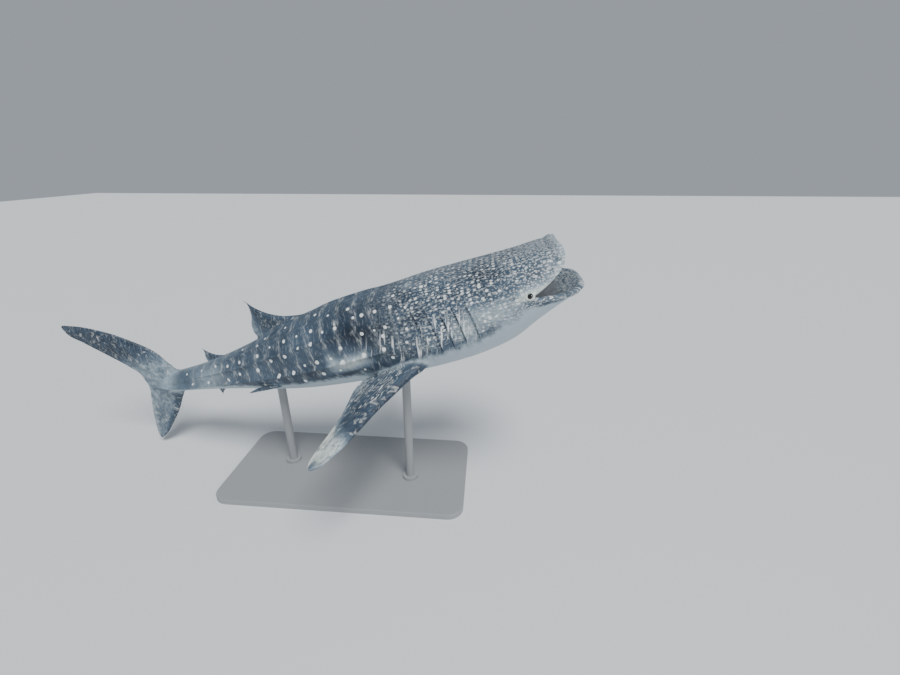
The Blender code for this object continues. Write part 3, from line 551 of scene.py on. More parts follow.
class Fin:
    """A closed fin in its own plane: its axes run out to the tip, back along the chord, and across."""

    def __init__(self, name, edges, origin, out, back, blade, sections=FIN_SECTIONS):
        self.name, self.origin = name, origin
        sink, thickness = blade
        out = out / np.linalg.norm(out)
        back = back - out * (back @ out)
        back /= np.linalg.norm(back)
        self.axes = np.stack([out, back, np.cross(out, back)], axis=1)
        t = np.linspace(0, 1, sections) ** TIP_CLOSENESS
        lead, trail = (np.stack([table(edges, k, t) for k in pair], axis=-1) for pair in ((1, 2), (3, 4)))
        if sink:
            inward = np.array([trail[0, 1] - lead[0, 1], lead[0, 0] - trail[0, 0]])
            inward /= np.linalg.norm(inward)
            steps = np.linspace(sink, 0, SUNK_SECTIONS + 1)[:-1, None]
            lead = np.concatenate([lead[0] - inward * steps, lead])
            trail = np.concatenate([trail[0] - inward * steps, trail])
            t = np.concatenate([np.zeros(len(steps)), t])
        chord = (1 - np.cos(np.linspace(0, math.pi, CHORD_POINTS))) / 2
        points, chords = [], []
        for share, front, rear in zip(t, lead, trail):
            length = np.linalg.norm(rear - front)
            thick = min(table(thickness, 1, share), THICKEST_SHARE * length)
            least = EDGE_HALF * ramp(length, 0, EDGE_CHORD) * ramp(chord, 0, EDGE_RISE)
            half = np.maximum(foil(chord) * thick / 2, least)
            half[0] = 0
            line = front + (rear - front) * chord[:, None]
            for side, order in ((1, range(CHORD_POINTS)), (-1, range(CHORD_POINTS - 1, 0, -1))):
                for k in order:
                    points.append((line[k, 0], line[k, 1], side * half[k]))
                    chords.append(chord[k])
        self.points = origin + np.array(points) @ self.axes.T * U
        self.chords = np.array(chords)
        self.rings = len(t)

    def faces(self):
        around = 2 * CHORD_POINTS - 1
        turn = [(k, (k + 1) % around) for k in range(around)]
        faces = [quad(r * around, (r + 1) * around, k, n) for r in range(self.rings - 1) for k, n in turn]
        for base in (0, (self.rings - 1) * around):
            for k in range(CHORD_POINTS - 1):
                low, high = base + (around - k) % around, base + around - k - 1
                faces.append((base + k, base + k + 1, high))
                if k:
                    faces.append((base + k, high, low))
        return faces


def paired_fins(name, edges, station, angle, out, back, blade):
    """A left and a right fin from the body's sides. out and back are the left one's, in the body's frame."""
    axes = frame_at(station)[1]
    for side, end in ((1, "left"), (-1, "right")):
        origin = skin(station, side * angle)
        ways = (axes @ (np.array(way) * [1, side, 1]) for way in (out, back))
        yield Fin(f"{name}_{end}", edges, origin, *ways, blade)


def middle_fin(name, edges, station, sign, blade):
    """A fin from the middle of the back, or with sign -1 from the middle of the belly."""
    centre, axes = frame_at(station)
    out = axes[:, 2] * sign
    origin = centre + out * table(SECTIONS, 2 if sign > 0 else 3, station) * U
    back = frame_at(station + BACK_REACH)[0] - centre
    return Fin(name, edges, origin, out, back, blade)


def all_fins():
    pectoral = (PECTORAL_EDGES, PECTORAL_STATION, PECTORAL_ANGLE, PECTORAL_WAY, PECTORAL_REAR)
    pelvic = (PELVIC_EDGES, PELVIC_STATION, PELVIC_ANGLE, PELVIC_WAY, PELVIC_REAR)
    second = scaled(DORSAL_EDGES, *SECOND_DORSAL[1:])
    anal = scaled(DORSAL_EDGES, *ANAL[1:])
    root, out, back = frame_at(CAUDAL_ROOT)[0], CAUDAL_FRAME[:, 2], -CAUDAL_FRAME[:, 0]
    return [
        *paired_fins("pectoral_fin", *pectoral, PECTORAL_BLADE),
        middle_fin("first_dorsal_fin", DORSAL_EDGES, DORSAL_STATION, 1, DORSAL_BLADE),
        middle_fin("second_dorsal_fin", second, SECOND_DORSAL[0], 1, SECOND_BLADE),
        middle_fin("anal_fin", anal, ANAL[0], -1, ANAL_BLADE),
        *paired_fins("pelvic_fin", *pelvic, PELVIC_BLADE),
        Fin("caudal_fin", CAUDAL_EDGES, root, out, back, CAUDAL_BLADE, CAUDAL_SECTIONS),
    ]


def tree_of(points):
    tree = kdtree.KDTree(len(points))
    for k, point in enumerate(points):
        tree.insert(point, k)
    tree.balance()
    return tree


def nearest(known, points):
    """Each point's distance from the nearest known point, and that point's number."""
    tree = tree_of(known)
    found = [tree.find(p) for p in points]
    return np.array([f[2] for f in found]), np.array([f[1] for f in found])


def read(items, key, width, kind=float):
    """One property of all these parts of a mesh, a row for each."""
    flat = np.empty(len(items) * width, dtype=kind)
    items.foreach_get(key, flat)
    return flat.reshape(-1, width)


def relax(values, edges, weight, rounds):
    """Pulls each point's values towards the mean of its neighbours', by its weight."""
    count = len(values)
    ends = np.concatenate([edges[:, 0], edges[:, 1]])
    others = np.concatenate([edges[:, 1], edges[:, 0]])
    near = weight[ends] > 0
    ends, others = ends[near], others[near]
    degree = np.maximum(np.bincount(ends, minlength=count), 1)[:, None]
    for _ in range(rounds):
        columns = [np.bincount(ends, values[others, k], count) for k in range(values.shape[1])]
        values = values + (np.stack(columns, axis=-1) / degree - values) * weight[:, None]
    return values


# Markings. Stations and angles as on the body, sizes in hundredths of the total length.
# Large white spots of the side that the photograph shows, row by row: angle, then station and radius of each.
SHOWN_ROWS = (
    (22, ((39.0, 0.26), (45.6, 0.22), (50.8, 0.22), (57.0, 0.2))),
    (32, ((20.3, 0.30), (24.8, 0.26), (32.5, 0.30), (36.2, 0.2), (52.5, 0.24))),
    (46, ((25.4, 0.27), (27.9, 0.28), (30.1, 0.30), (31.6, 0.22), (35.0, 0.1))),
    (46, ((39.6, 0.30), (42.6, 0.2), (45.5, 0.30), (49.0, 0.2))),
    (52, ((23.1, 0.2), (35.0, 0.30), (37.4, 0.22), (52.3, 0.30), (57.2, 0.28), (60.6, 0.28))),
    (62, ((24.4, 0.18), (39.9, 0.32), (42.5, 0.22))),
    (67, ((26.8, 0.26), (28.6, 0.18), (30.7, 0.28), (45.8, 0.32), (49.1, 0.30))),
    (76, ((23.8, 0.22), (27.6, 0.28), (35.0, 0.30), (52.9, 0.36), (57.7, 0.28))),
    (85, ((37.4, 0.24), (40.1, 0.32), (42.6, 0.22), (61.2, 0.3), (66.9, 0.26), (71.5, 0.22))),
    (91, ((24.6, 0.22), (28.3, 0.30), (31.7, 0.36), (45.3, 0.32), (48.5, 0.30))),
    (94, ((33.5, 0.22), (35.6, 0.46), (48.8, 0.24))),
    (105, ((27.7, 0.26), (40.1, 0.32), (36.9, 0.2))),
    (113, ((44.4, 0.30), (53.3, 0.32), (33.0, 0.2))),
    (42, ((64.2, 0.26), (68.5, 0.2), (73.0, 0.2))),
)
# The hidden side's rows: angle, first and last station
HIDDEN_ROWS = (
    (20, 26, 58),
    (33, 24, 62),
    (48, 24, 70),
    (64, 24, 72),
    (80, 25, 74),
    (94, 26, 60),
    (106, 30, 52),
)
HIDDEN_SPACING, HIDDEN_RADIUS, HIDDEN_WANDER = 3.3, 0.29, 3
SPOT_SEED = 7
# A spot's offsets are kept out to this many radii. Farther away the third offset is FAR.
SPOT_REACH, FAR = 2.4, 9.0
# Broad pale and dark patches: station, angle, half length, half angle, amount
PATCHES = (
    (33.0, 60, 5.0, 20, -0.20),
    (29.5, 72, 3.0, 12, -0.12),
    (35.4, 99, 3.0, 13, 0.70),
    (36.2, 114, 4.0, 4, -0.30),
    (32.2, 94, 1.7, 11, 0.42),
    (37.6, 86, 1.0, 10, 0.30),
    (39.5, 58, 1.8, 14, 0.12),
    (43.6, 55, 1.8, 18, 0.12),
    (47.3, 62, 1.8, 16, -0.12),
    (43.0, 100, 3.0, 12, -0.14),
    (11.6, 38, 2.6, 20, -0.26),
    (17.5, 52, 2.0, 9, -0.12),
    (21.5, 68, 2.2, 9, -0.16),
    (24.5, 46, 3.2, 9, -0.14),
    (12.0, 88, 4.6, 12, 0.44),
    (10.5, 101, 3.0, 7, 0.30),
    (16.0, 100, 2.2, 9, 0.42),
    (5.4, 80, 2.4, 11, 0.40),
    (7.4, 87, 1.6, 8, 0.26),
    (6.2, 86, 0.9, 5, 0.25),
    (2.0, 60, 1.8, 20, 0.16),
    (22.6, 21, 0.9, 8, 0.30),
    (28.5, 124, 2.2, 8, 0.30),
    (22.0, 100, 1.5, 14, 0.20),
    (65.5, 72, 4.0, 30, 0.26),
    (74.0, 60, 2.6, 40, -0.08),
    (79.5, 60, 3.0, 90, 0.26),
    (53.0, 84, 2.0, 12, 0.10),
    (57.0, 40, 2.0, 12, -0.10),
)
# The same patches lie this much farther back on the hidden side
HIDDEN_SHIFT = 1.7
# Where the dark flank gives way to the pale belly: angle at each station
BELLY_EDGE = (
    (-2, 97), (5, 101), (10, 106), (15, 112), (20, 116),
    (26, 118), (40, 118), (50, 115), (60, 108), (90, 104),
)
# Tone from dark slate at 0 to pale at 1, at each station
BODY_TONE = (
    (-2, 0.48), (4, 0.38), (10, 0.30), (18, 0.28),
    (26, 0.22), (45, 0.24), (58, 0.32), (68, 0.42), (90, 0.45),
)
# Painted light: the middle of the back is made paler, as if lit from above
BACK_PAINTED_LIGHT = 0.10

# Hide colours by tone, from the darkest to cream
TONES = (0.0, 0.35, 0.7, 1.0)
HIDE = ((0.018, 0.031, 0.052), (0.064, 0.098, 0.140), (0.26, 0.33, 0.38), (0.66, 0.72, 0.67))
# The belly's own pale colour is dimmed to a grey blue by painted shade, as under the body
SPOT_WHITE, BELLY_PALE_SHADED = (0.88, 0.91, 0.89), (0.42, 0.50, 0.55)
# The lining's colour by the lips, and the near black painted shade it darkens into towards the throat
MOUTH_FRONT, MOUTH_THROAT_SHADE = (0.24, 0.26, 0.28), (0.07, 0.08, 0.095)
PAD_SLOTS, PAD_SHADE = 15, 0.45

# Bands along the upper and the lower lip, with how pale the one is and the tone of the other
LIP_BAND, LIP_PALE, LOWER_LIP_BAND, LOWER_LIP_TONE = 0.75, 0.22, 1.6, 0.42
# Degrees over which the belly's colour sets in, and how far the lower lip and the stalk's end hold it off
BELLY_BLEND, LIP_HOLD, STALK_HOLD = 10.0, 9.0, 6.0

# Points this close are the same. Seams are rounded by fin: start of its name, reach, rounds.
SAME_PLACE, SEAM_PULL, MASK_ROUNDS = 1e-5, 0.6, 3
FILLETS = (
    ("pectoral", 1.5, 70),
    ("first", 1.0, 40),
    ("caudal", 1.5, 60),
    ("second", 0.5, 14),
    ("anal", 0.5, 14),
    ("pelvic", 0.7, 20),
)
# Shares of the reach: where the pull is full, and how far from the fin it may act
FILLET_CORE, FILLET_LIMIT = 0.25, 2.5


def arc_lengths(stations, angles):
    """Signed distance round the skin from the middle of the back, in hundredths of the length."""
    station_step, angle_step = 1.0, 3.0
    grid_s = np.arange(-2, 90.5, station_step)
    grid_a = np.arange(0, 181, angle_step)
    points = skin(grid_s[:, None], grid_a[None, :])
    steps = np.linalg.norm(np.diff(points, axis=1), axis=2) / U
    arcs = np.concatenate([np.zeros((len(grid_s), 1)), np.cumsum(steps, axis=1)], axis=1)
    row = np.clip((stations - grid_s[0]) / station_step, 0, len(grid_s) - 1.001)
    col = np.clip(np.abs(angles) / angle_step, 0, len(grid_a) - 1.001)
    i, j = row.astype(int), col.astype(int)
    u, v = row - i, col - j
    low = arcs[i, j] * (1 - v) + arcs[i, j + 1] * v
    high = arcs[i + 1, j] * (1 - v) + arcs[i + 1, j + 1] * v
    return (low * (1 - u) + high * u) * np.sign(angles)


def large_spots():
    """Station, signed angle and radius of every large spot."""
    made = [(s, -angle, r) for angle, spots in SHOWN_ROWS for s, r in spots]
    chance = np.random.default_rng(SPOT_SEED)
    for angle, first, last in HIDDEN_ROWS:
        station = first + chance.uniform(0, 2)
        while station < last:
            size = HIDDEN_RADIUS * chance.uniform(0.75, 1.15)
            made.append((station, angle + chance.uniform(-HIDDEN_WANDER, HIDDEN_WANDER), size))
            station += HIDDEN_SPACING * chance.uniform(0.75, 1.3)
    return np.array(made)


def spot_offsets(stations, angles):
    """For each point, the way to its nearest large spot in units of that spot's radius, or far away."""
    spots = large_spots()
    half = 4.0
    ends = (skin(spots[:, 0], spots[:, 1] + way) for way in (half, -half))
    per_degree = np.linalg.norm(np.subtract(*ends), axis=-1) / (2 * half * U)
    best = np.full(len(stations), np.inf)
    found = np.zeros((len(stations), 3))
    found[:, 2] = FAR
    for (station, angle, radius), scale in zip(spots, per_degree):
        along = (stations - station) / radius
        round_way = (angles - angle) * scale / radius
        away = np.hypot(along, round_way)
        closer = (away < best) & (away < SPOT_REACH)
        best[closer] = away[closer]
        found[closer] = np.stack([along, round_way, np.zeros_like(along)], axis=-1)[closer]
    return found


def body_tone(stations, angles):
    away = np.abs(angles)
    tone = table(BODY_TONE, 1, stations)
    # painted light: paler along the middle of the back, as if lit from above
    tone = tone + BACK_PAINTED_LIGHT * (1 - ramp(away, 0, 34)) * ramp(stations, 6, 14)
    shift = np.where(angles > 0, HIDDEN_SHIFT, 0.0)
    for station, angle, length, height, amount in PATCHES:
        reach = ((stations - station - shift) / length) ** 2 + ((away - angle) / height) ** 2
        tone = tone + amount * np.exp(-reach)
    return np.clip(tone, 0, 1)


def tone_colour(tone):
    return np.stack([np.interp(tone, TONES, [c[k] for c in HIDE]) for k in range(3)], axis=-1)


def fin_tone(name, out, chord):
    """Tone and streakiness of a fin, by the way out from its root and the share of its chord."""
    if name.startswith("pectoral"):
        front, rear = 1 - ramp(chord, 0.0, 0.08), ramp(chord, 0.66, 1.0)
        pale_end = 0.66 * ramp(out, 14.5, 18.0) - 0.25 * ramp(out, 20.5, 22)
        dark_middle = 0.14 * ramp(out, 10, 12) * (1 - ramp(out, 14, 16))
        pale_root = 0.42 * (1 - ramp(out, 3.0, 7.0)) * ramp(chord, 0.1, 0.35)
        tone = 0.24 + pale_end + pale_root - dark_middle + 0.40 * rear * ramp(out, 4, 9) - 0.22 * front
        return tone, (1 - ramp(out, 12, 15)) * ramp(chord, 0.05, 0.2)
    if name == "caudal_fin":
        tone = 0.62 - 0.56 * ramp(out, 4.5, 9.5) - 0.12 * ramp(-out, 1.5, 6)
        tone = tone - 0.40 * ramp(-out, 1.0, 4.0) * (1 - ramp(chord, 0.0, 0.35))
        return tone + 0.2 * ramp(chord, 0.7, 1) * ramp(-out, 0, 4), 0.25
    if name == "first_dorsal_fin":
        return 0.16 + 0.45 * ramp(chord, 0.72, 1.0) - 0.08 * ramp(out, 1, 3), 0.3
    return 0.2 + 0.4 * ramp(chord, 0.75, 1.0), 0.3


def fin_marks(fins, owner, chord, points):
    """Each point's place in its nearest fin's own plane, with the tone and streakiness there."""
    place = np.zeros((len(points), 3))
    tone, streaks = np.zeros(len(points)), np.zeros(len(points))
    for k, fin in enumerate(fins):
        mine = owner == k
        place[mine] = (points[mine] - fin.origin) @ fin.axes / U
        tone[mine], streaks[mine] = fin_tone(fin.name, place[mine, 0], chord[mine])
    return place, tone, streaks


def mouth_lining(depth, away):
    """Colour inside the mouth, with painted shade that darkens it towards the throat and in the slots between
    the filter pads.
    """
    slots = 0.5 + 0.5 * np.cos(2 * math.pi * depth * PAD_SLOTS)
    slots = ramp(slots, 0.55, 0.9) * window(away, 35, 150, 20) * window(depth, 0.4, 0.97, 0.08)
    fade = np.clip(depth, 0, 1)[:, None]
    wall = np.array(MOUTH_FRONT) * (1 - fade) + np.array(MOUTH_THROAT_SHADE) * fade
    return wall * (1 - PAD_SHADE * slots[:, None])


def store(mesh, name, kind, columns):
    layer = mesh.attributes.new(name, kind, "POINT")
    values = np.stack(columns, axis=-1).astype(np.float32)
    layer.data.foreach_set("color" if kind == "FLOAT_COLOR" else "vector", values.ravel())


def store_marks(mesh, s, a, depth, fin_amount, fin_place, fin_level, streaks):
    """Stores what the material needs at each point of the skin, from its station, angle and depth."""
    away = np.abs(a)
    low_side = ramp(away, 95, 112)
    in_mouth = ramp(depth - 0.10 * low_side, 0.05, 0.10 + 0.04 * low_side) * (1 - fin_amount)
    from_lip = s - lip_station(a)
    lower_lip = np.exp(-((from_lip / LOWER_LIP_BAND) ** 2)) * ramp(away, 88, 96)
    tone = body_tone(s, a) + LIP_PALE * np.exp(-((from_lip / LIP_BAND) ** 2)) * (1 - ramp(away, 84, 94))
    tone = tone * (1 - lower_lip) + LOWER_LIP_TONE * lower_lip
    belly = (away - table(BELLY_EDGE, 1, s)) / BELLY_BLEND
    belly = belly - LIP_HOLD * lower_lip - STALK_HOLD * ramp(s, 78, 83)
    outside = tone_colour(tone * (1 - fin_amount) + fin_level * fin_amount)
    colour = outside * (1 - in_mouth[:, None]) + mouth_lining(depth, away) * in_mouth[:, None]
    small = ramp(s, -1.5, 0.9) * (1 - ramp(s, 19, 32)) * (1 - ramp(away, 103, 115))
    small = np.maximum(small, 0.9 * lower_lip)
    gill_streaks = window(s, 13.5, 34, 2.5) * window(away, 66, 122, 14) * (1 - 0.5 * ramp(s, 25, 32))
    bars = window(s, 23, 74, 5) * (1 - ramp(away, 100, 118))
    store(mesh, "coat", "FLOAT_VECTOR", (s - MOUTH_DEPTH_STATION * depth, arc_lengths(s, a), belly))
    store(mesh, "rule", "FLOAT_VECTOR", (small, gill_streaks, bars))
    store(mesh, "dot", "FLOAT_VECTOR", spot_offsets(s, a).T)
    store(mesh, "fin", "FLOAT_VECTOR", fin_place.T)
    store(mesh, "parts", "FLOAT_VECTOR", (fin_amount, in_mouth, streaks))
    store(mesh, "tint", "FLOAT_COLOR", (*colour.T, np.ones(len(s))))


def joined_body(rings, fins):
    """The body with its eyelids, pits and fins as one closed surface."""
    ends = np.stack([rings[0].mean(axis=0), frame_at(MOUTH_DEPTH_STATION)[0]])
    points = np.concatenate([rings.reshape(-1, 3), ends])
    faces = ring_faces(len(rings), rings.shape[1], len(points) - 2, len(points) - 1)
    body = solid("whale_shark_skin", points, faces)
    for side in (1, -1):
        boolean(body, eyelid(side), "UNION")
    for pit in pit_shapes():
        boolean(body, pit, "DIFFERENCE")
    for fin in fins:
        boolean(body, solid(fin.name, fin.points, fin.faces()), "UNION")
    return body


def rounded_seams(points, edges, seam, fins, owner, fin_away):
    """The points with the seams between the body and each fin drawn into soft fillets."""
    seam_away, _ = nearest(points[seam], points)
    for start, reach, rounds in FILLETS:
        near_fin = np.array([fin.name.startswith(start) for fin in fins])[owner]
        near_seam = 1 - ramp(seam_away, FILLET_CORE * reach * U, reach * U)
        weight = SEAM_PULL * near_seam * near_fin * (fin_away < FILLET_LIMIT * reach * U)
        points = relax(points, edges, weight, rounds)
    return points


def whole_skin():
    """The body and the fins as one closed surface with rounded roots, and its markings' attributes."""
    rings, stations, inside, angles = body_rings()
    fins = all_fins()
    body = joined_body(rings, fins)
    mesh = body.data
    points, edges = read(mesh.vertices, "co", 3), read(mesh.edges, "vertices", 2, np.int64)

    body_away, near = nearest(rings.reshape(-1, 3), points)
    station, depth = stations.reshape(-1)[near], inside.reshape(-1)[near]
    angle = np.broadcast_to(angles, stations.shape).reshape(-1)[near]
    fin_away, near = nearest(np.concatenate([fin.points for fin in fins]), points)
    owner = np.concatenate([np.full(len(fin.points), k) for k, fin in enumerate(fins)])[near]
    chord = np.concatenate([fin.chords for fin in fins])[near]

    is_fin = (fin_away <= SAME_PLACE).astype(float)[:, None]
    fin_amount = relax(is_fin, edges, np.full(len(points), SEAM_PULL), MASK_ROUNDS)[:, 0]
    store_marks(mesh, station, angle, depth, fin_amount, *fin_marks(fins, owner, chord, points))
    seam = (body_away > SAME_PLACE) & (fin_away > SAME_PLACE)
    points = rounded_seams(points, edges, seam, fins, owner, fin_away)
    mesh.vertices.foreach_set("co", points.ravel())
    mesh.update()
    mesh.materials.clear()
    mesh.materials.append(skin_material())
    mesh.polygons.foreach_set("material_index", np.zeros(len(mesh.polygons), np.int32))
    mesh.shade_smooth()
    return body


class Graph:
    """A short way to write a material's nodes. Numbers and sockets can both be given."""

    def __init__(self, name):
        self.material = bpy.data.materials.new(name)
        self.material.use_nodes = True
        self.tree = self.material.node_tree
        self.shader = self.tree.nodes["Principled BSDF"]

    def node(self, kind, inputs=(), **settings):
        made = self.tree.nodes.new(kind)
        for key, value in settings.items():
            setattr(made, key, value)
        for key, value in dict(inputs).items():
            self.give(made.inputs[key], value)
        return made

    def give(self, socket, value):
        if isinstance(value, bpy.types.NodeSocket):
            self.tree.links.new(value, socket)
        else:
            socket.default_value = value

    def math(self, operation, a, b=0.0, clamp=False):
        return self.node("ShaderNodeMath", {0: a, 1: b}, operation=operation, use_clamp=clamp).outputs[0]

    def chain(self, operation, values):
        total, *rest = values
        for value in rest:
            total = self.math(operation, total, value)
        return total

    def times(self, *values):
        return self.chain("MULTIPLY", values)

    def plus(self, *values):
        return self.chain("ADD", values)

    def most(self, *values):
        return self.chain("MAXIMUM", values)

    def swing(self, noise, amount):
        """Noise about 0, from about -amount / 2 to amount / 2."""
        return self.times(self.plus(noise, -0.5), amount)

    def step(self, value, low, high):
        """0 below low, 1 above high, smooth between. low may be above high."""
        made = self.node(
            "ShaderNodeMapRange",
            {"Value": value, "From Min": low, "From Max": high},
            interpolation_type="SMOOTHSTEP",
        )
        return made.outputs["Result"]

    def attribute(self, name, output="Vector"):
        return self.node("ShaderNodeAttribute", attribute_name=name).outputs[output]

    def split(self, vector):
        return self.node("ShaderNodeSeparateXYZ", {0: vector}).outputs

    def join(self, x, y, z=0.0):
        return self.node("ShaderNodeCombineXYZ", {0: x, 1: y, 2: z}).outputs[0]

    def stretched(self, x, y, per_x, per_y):
        """A flat place for a pattern that repeats so many times per unit along x and along y."""
        return self.join(self.times(x, per_x), self.times(y, per_y))

    def noise(self, vector, scale, detail=3.0, roughness=0.55, distortion=0.0):
        grain = {"Scale": scale, "Detail": detail, "Roughness": roughness, "Distortion": distortion}
        return self.node("ShaderNodeTexNoise", {"Vector": vector, **grain}).outputs["Fac"]

    def cells(self, vector, randomness):
        """Scattered cells of size 1: each point's distance from its cell's middle, and a colour per cell."""
        made = self.node(
            "ShaderNodeTexVoronoi",
            {"Vector": vector, "Scale": 1.0, "Randomness": randomness},
            voronoi_dimensions="2D",
        )
        return made.outputs["Distance"], made.outputs["Color"]

    def mix(self, amount, a, colour):
        """Socket a with this much of a plain colour over it."""
        made = self.node("ShaderNodeMix", data_type="RGBA")
        self.give(made.inputs["Factor"], amount)
        self.give(made.inputs["A"], a)
        self.give(made.inputs["B"], (*colour, 1.0))
        return made.outputs["Result"]


def mottled(g, colour, place, fine):
    """The colour with light and dark mottling at two sizes."""
    mottle = g.plus(g.times(g.noise(place, 5.0, 4.0, 0.6), 0.9), g.times(fine, 0.7))
    lift = g.plus(g.times(g.plus(mottle, -0.8), 1.5), 1.0)
    made = g.node("ShaderNodeVectorMath", {0: colour, 1: g.join(lift, lift, lift)}, operation="MULTIPLY")
    return made.outputs[0]


def head_spots(g, s, arc, place, amount):
    """Small spots in rows along the head, with thin lines between them and speckles towards the lips."""
    wander = g.noise(g.stretched(s, arc, 0.35, 0.35), 1.0, 2.0)
    bent = g.plus(arc, g.swing(wander, 1.1))
    distance, cell = g.cells(g.stretched(s, bent, 1.2, 1.7), 0.66)
    chance = g.split(cell)[0]
    size = g.plus(g.times(chance, 0.19), 0.10)
    spots = g.step(g.math("SUBTRACT", distance, size), 0.07, -0.05)
    patchy = g.step(g.noise(place, 3.4, 3.0), 0.36, 0.58)
    bright = g.times(g.plus(g.times(chance, 0.6), 0.35), g.plus(g.times(patchy, 0.5), 0.5))
    speckle, _ = g.cells(g.stretched(s, bent, 2.1, 2.6), 0.9)
    near_lips = g.plus(g.times(g.step(s, 11.0, 4.0), 0.65), 0.35)
    lines = g.noise(g.stretched(s, bent, 0.6, 3.6), 1.0, 3.0, 0.6)
    return g.most(
        g.times(spots, bright, amount),
        g.times(g.step(speckle, 0.34, 0.16), near_lips, amount, 0.6),
        g.times(g.step(lines, 0.54, 0.68), amount, 0.42),
    )


def upright_streaks(g, s, arc, amount):
    """Streaks over the gills and behind them, leaning back towards the belly."""
    lean = g.plus(s, g.times(g.math("ABSOLUTE", arc), -0.38))
    streaks = g.noise(g.stretched(lean, arc, 2.0, 0.24), 1.0, 3.0, 0.6, 0.5)
    return g.times(g.step(streaks, 0.54, 0.66), amount, 0.9)


def flank_bars(g, s, arc, amount):
    """Broken pale bars between the columns of large spots, and a faint grain."""
    wave = g.noise(g.stretched(s, arc, 0.3, 0.5), 1.0, 2.0)
    column = g.plus(g.math("DIVIDE", s, 3.05), g.swing(wave, 0.5), 0.62)
    line = g.step(g.math("PINGPONG", column, 0.5), 0.27, 0.05)
    broken = g.noise(g.stretched(s, arc, 2.3, 0.75), 1.0, 4.0, 0.65)
    grain = g.noise(g.stretched(s, arc, 2.8, 0.9), 1.0, 3.0, 0.6)
    return g.most(
        g.times(line, g.step(broken, 0.42, 0.68), amount, 0.36),
        g.times(g.step(grain, 0.5, 0.8), amount, 0.22),
    )


def large_dots(g, place):
    """The large spots, a little ragged at the edge."""
    reach = g.node("ShaderNodeVectorMath", {0: g.attribute("dot")}, operation="LENGTH").outputs["Value"]
    return g.step(g.plus(reach, g.swing(g.noise(place, 60.0, 2.0), 0.25)), 1.18, 0.88)


def belly_share(g, belly, place, fine):
    """How much of the belly's colour shows, with a mottled edge."""
    edge = g.plus(belly, g.swing(g.noise(place, 9.0, 5.0, 0.62), 2.6), g.swing(fine, 1.2))
    return g.step(edge, -0.5, 0.9)


def fin_pattern(g, colour, amount, streakiness):
    """The colour with pale swirls along the fins, and pale and dark flecks."""
    out, back, side = g.split(g.attribute("fin"))
    along = g.join(g.times(out, 0.30), g.times(back, 0.95), g.times(side, 0.3))
    contour = g.math("PINGPONG", g.times(g.noise(along, 1.0, 1.5, 0.5, 0.4), 6.0), 0.5)
    swirl = g.times(g.step(contour, 0.10, 0.03), streakiness, 0.75)
    fleck = g.noise(g.join(g.times(out, 0.8), back, side), 1.0, 4.0, 0.62, 0.5)
    colour = g.mix(g.times(g.step(fleck, 0.52, 0.40), amount, 0.6), colour, HIDE[1])
    pale = g.most(swirl, g.times(g.step(fleck, 0.54, 0.72), 0.45))
    return g.mix(g.times(pale, amount), colour, SPOT_WHITE)


def hide_bumps(g, place):
    """Denticles and slight folds."""
    grain, folds = g.noise(place, 320.0, 2.0, 0.6), g.noise(place, 22.0, 4.0)
    height = g.plus(g.times(grain, 0.0012), g.times(folds, 0.006))
    return g.node("ShaderNodeBump", {"Height": height, "Strength": 0.6, "Distance": 1.0}).outputs["Normal"]


def skin_material():
    g = Graph("hide")
    s, arc, belly = g.split(g.attribute("coat"))
    small_amount, streak_amount, bar_amount = g.split(g.attribute("rule"))
    fin_amount, mouth_amount, streakiness = g.split(g.attribute("parts"))
    off_fins, off_mouth = (g.math("SUBTRACT", 1.0, part, clamp=True) for part in (fin_amount, mouth_amount))
    body_amount = g.times(off_fins, off_mouth)
    place = g.node("ShaderNodeTexCoord").outputs["Object"]
    fine = g.noise(place, 26.0, 5.0, 0.65)
    white = g.most(
        head_spots(g, s, arc, place, small_amount),
        upright_streaks(g, s, arc, streak_amount),
        flank_bars(g, s, arc, bar_amount),
        large_dots(g, place),
    )
    colour = mottled(g, g.attribute("tint", "Color"), place, fine)
    colour = g.mix(g.math("MULTIPLY", white, body_amount, clamp=True), colour, SPOT_WHITE)
    # The belly's pale colour, dimmed by painted shade
    colour = g.mix(g.times(belly_share(g, belly, place, fine), body_amount), colour, BELLY_PALE_SHADED)
    g.give(g.shader.inputs["Base Color"], fin_pattern(g, colour, fin_amount, streakiness))
    g.give(g.shader.inputs["Normal"], hide_bumps(g, place))
    g.shader.inputs["Roughness"].default_value = 0.5
    g.shader.inputs["Specular IOR Level"].default_value = 0.35
    return g.material


def plain_material(name, colour, roughness):
    made = bpy.data.materials.new(name)
    made.use_nodes = True
    shader = made.node_tree.nodes["Principled BSDF"]
    shader.inputs["Base Color"].default_value = (*colour, 1)
    shader.inputs["Roughness"].default_value = roughness
    return made


def eyeball(side, node):
    eye = mesh_object("skin_" + node, *eye_shape(side, EYE_RADIUS * U))
    eye.data.materials.append(plain_material("eye", EYE_BLACK, 0.1))
    eye.data.shade_smooth()
    return eye


def dress_stand():
    paint = plain_material("stand_paint", STAND_GREY, 0.45)
    for name in ("stand_base", "stand_rod_front", "stand_rod_rear"):
        node = bpy.data.objects[name]
        node.data.materials.clear()
        node.data.materials.append(paint)


EYE_BLACK, STAND_GREY, FLOOR_GREY = (0.01, 0.01, 0.012), (0.30, 0.31, 0.32), (0.72, 0.74, 0.76)
FLOOR_SIZE = 80
SKY_COLOUR, SKY_STRENGTH = (0.75, 0.82, 0.9, 1), 0.45
AIM = Vector((0, 0, 1.8))
# The photograph's camera, fitted to the animal's outline. Its axes point right, up and into the picture.
CAMERA_PLACE, CAMERA_LENS, SENSOR_WIDTH, CLIP_END = (1.5300, -3.8917, 3.4088), 17.06, 36.0, 200
CAMERA_RIGHT = (0.99587, 0.09074, -0.00229)
CAMERA_UP = (-0.03324, 0.38807, 0.92103)
CAMERA_INTO = (-0.08446, 0.91715, -0.38948)


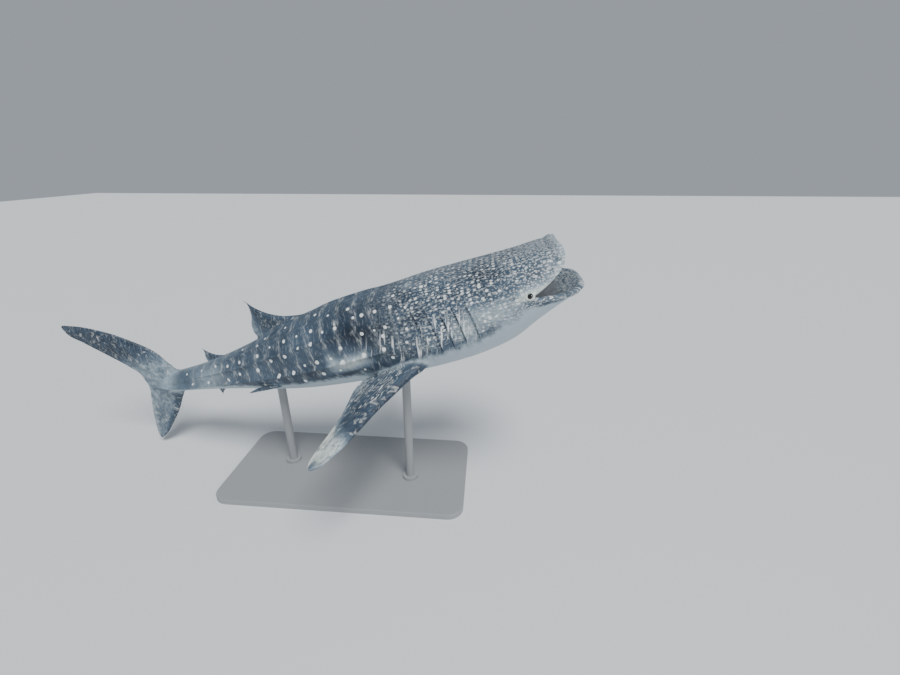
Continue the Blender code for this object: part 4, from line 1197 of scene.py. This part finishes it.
def camera():
    data = bpy.data.cameras.new("camera")
    data.lens, data.sensor_width, data.clip_end = CAMERA_LENS, SENSOR_WIDTH, CLIP_END
    made = bpy.data.objects.new("camera", data)
    bpy.context.scene.collection.objects.link(made)
    pose = np.eye(4)
    pose[:3, :3] = np.stack([CAMERA_RIGHT, CAMERA_UP, -np.array(CAMERA_INTO)], axis=1)
    pose[:3, 3] = CAMERA_PLACE
    made.matrix_world = Matrix(pose.tolist())
    bpy.context.scene.camera = made


def lamp(name, kind, place, **settings):
    """A light at this place, aimed at the animal."""
    light = bpy.data.lights.new(name, kind)
    for key, value in settings.items():
        setattr(light, key, value)
    made = bpy.data.objects.new(name, light)
    made.location = place
    made.rotation_mode = "QUATERNION"
    made.rotation_quaternion = (AIM - made.location).to_track_quat("-Z", "Y")
    bpy.context.scene.collection.objects.link(made)


def setting():
    """A pale floor under a soft sky, with a broad sun and a weak light from the front."""
    bpy.ops.mesh.primitive_plane_add(size=FLOOR_SIZE, location=(0, 0, 0))
    floor = bpy.context.object
    floor.name = "floor"
    floor.data.materials.append(plain_material("floor_grey", FLOOR_GREY, 0.8))
    world = bpy.data.worlds.new("world")
    bpy.context.scene.world = world
    world.use_nodes = True
    sky = world.node_tree.nodes["Background"]
    sky.inputs["Color"].default_value = SKY_COLOUR
    sky.inputs["Strength"].default_value = SKY_STRENGTH
    lamp("sun", "SUN", (2.0, -3.2, 8.0), energy=3.0, angle=math.radians(24))
    lamp("fill", "AREA", (3.5, -6.0, 2.6), energy=45, size=3.0)


FLESH = (
    *("head", "lower_jaw", "trunk", "rear_trunk", "tail_stalk", "caudal_fin"),
    *("first_dorsal_fin", "second_dorsal_fin", "anal_fin"),
    *("pectoral_fin_left", "pectoral_fin_right", "pelvic_fin_left", "pelvic_fin_right"),
)

body = whole_skin()
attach(body, "root")
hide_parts(*FLESH)
for side, name in ((1, "eye_left"), (-1, "eye_right")):
    eye = eyeball(side, name)
    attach(eye, "root")
    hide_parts(name)
dress_stand()
camera()
setting()
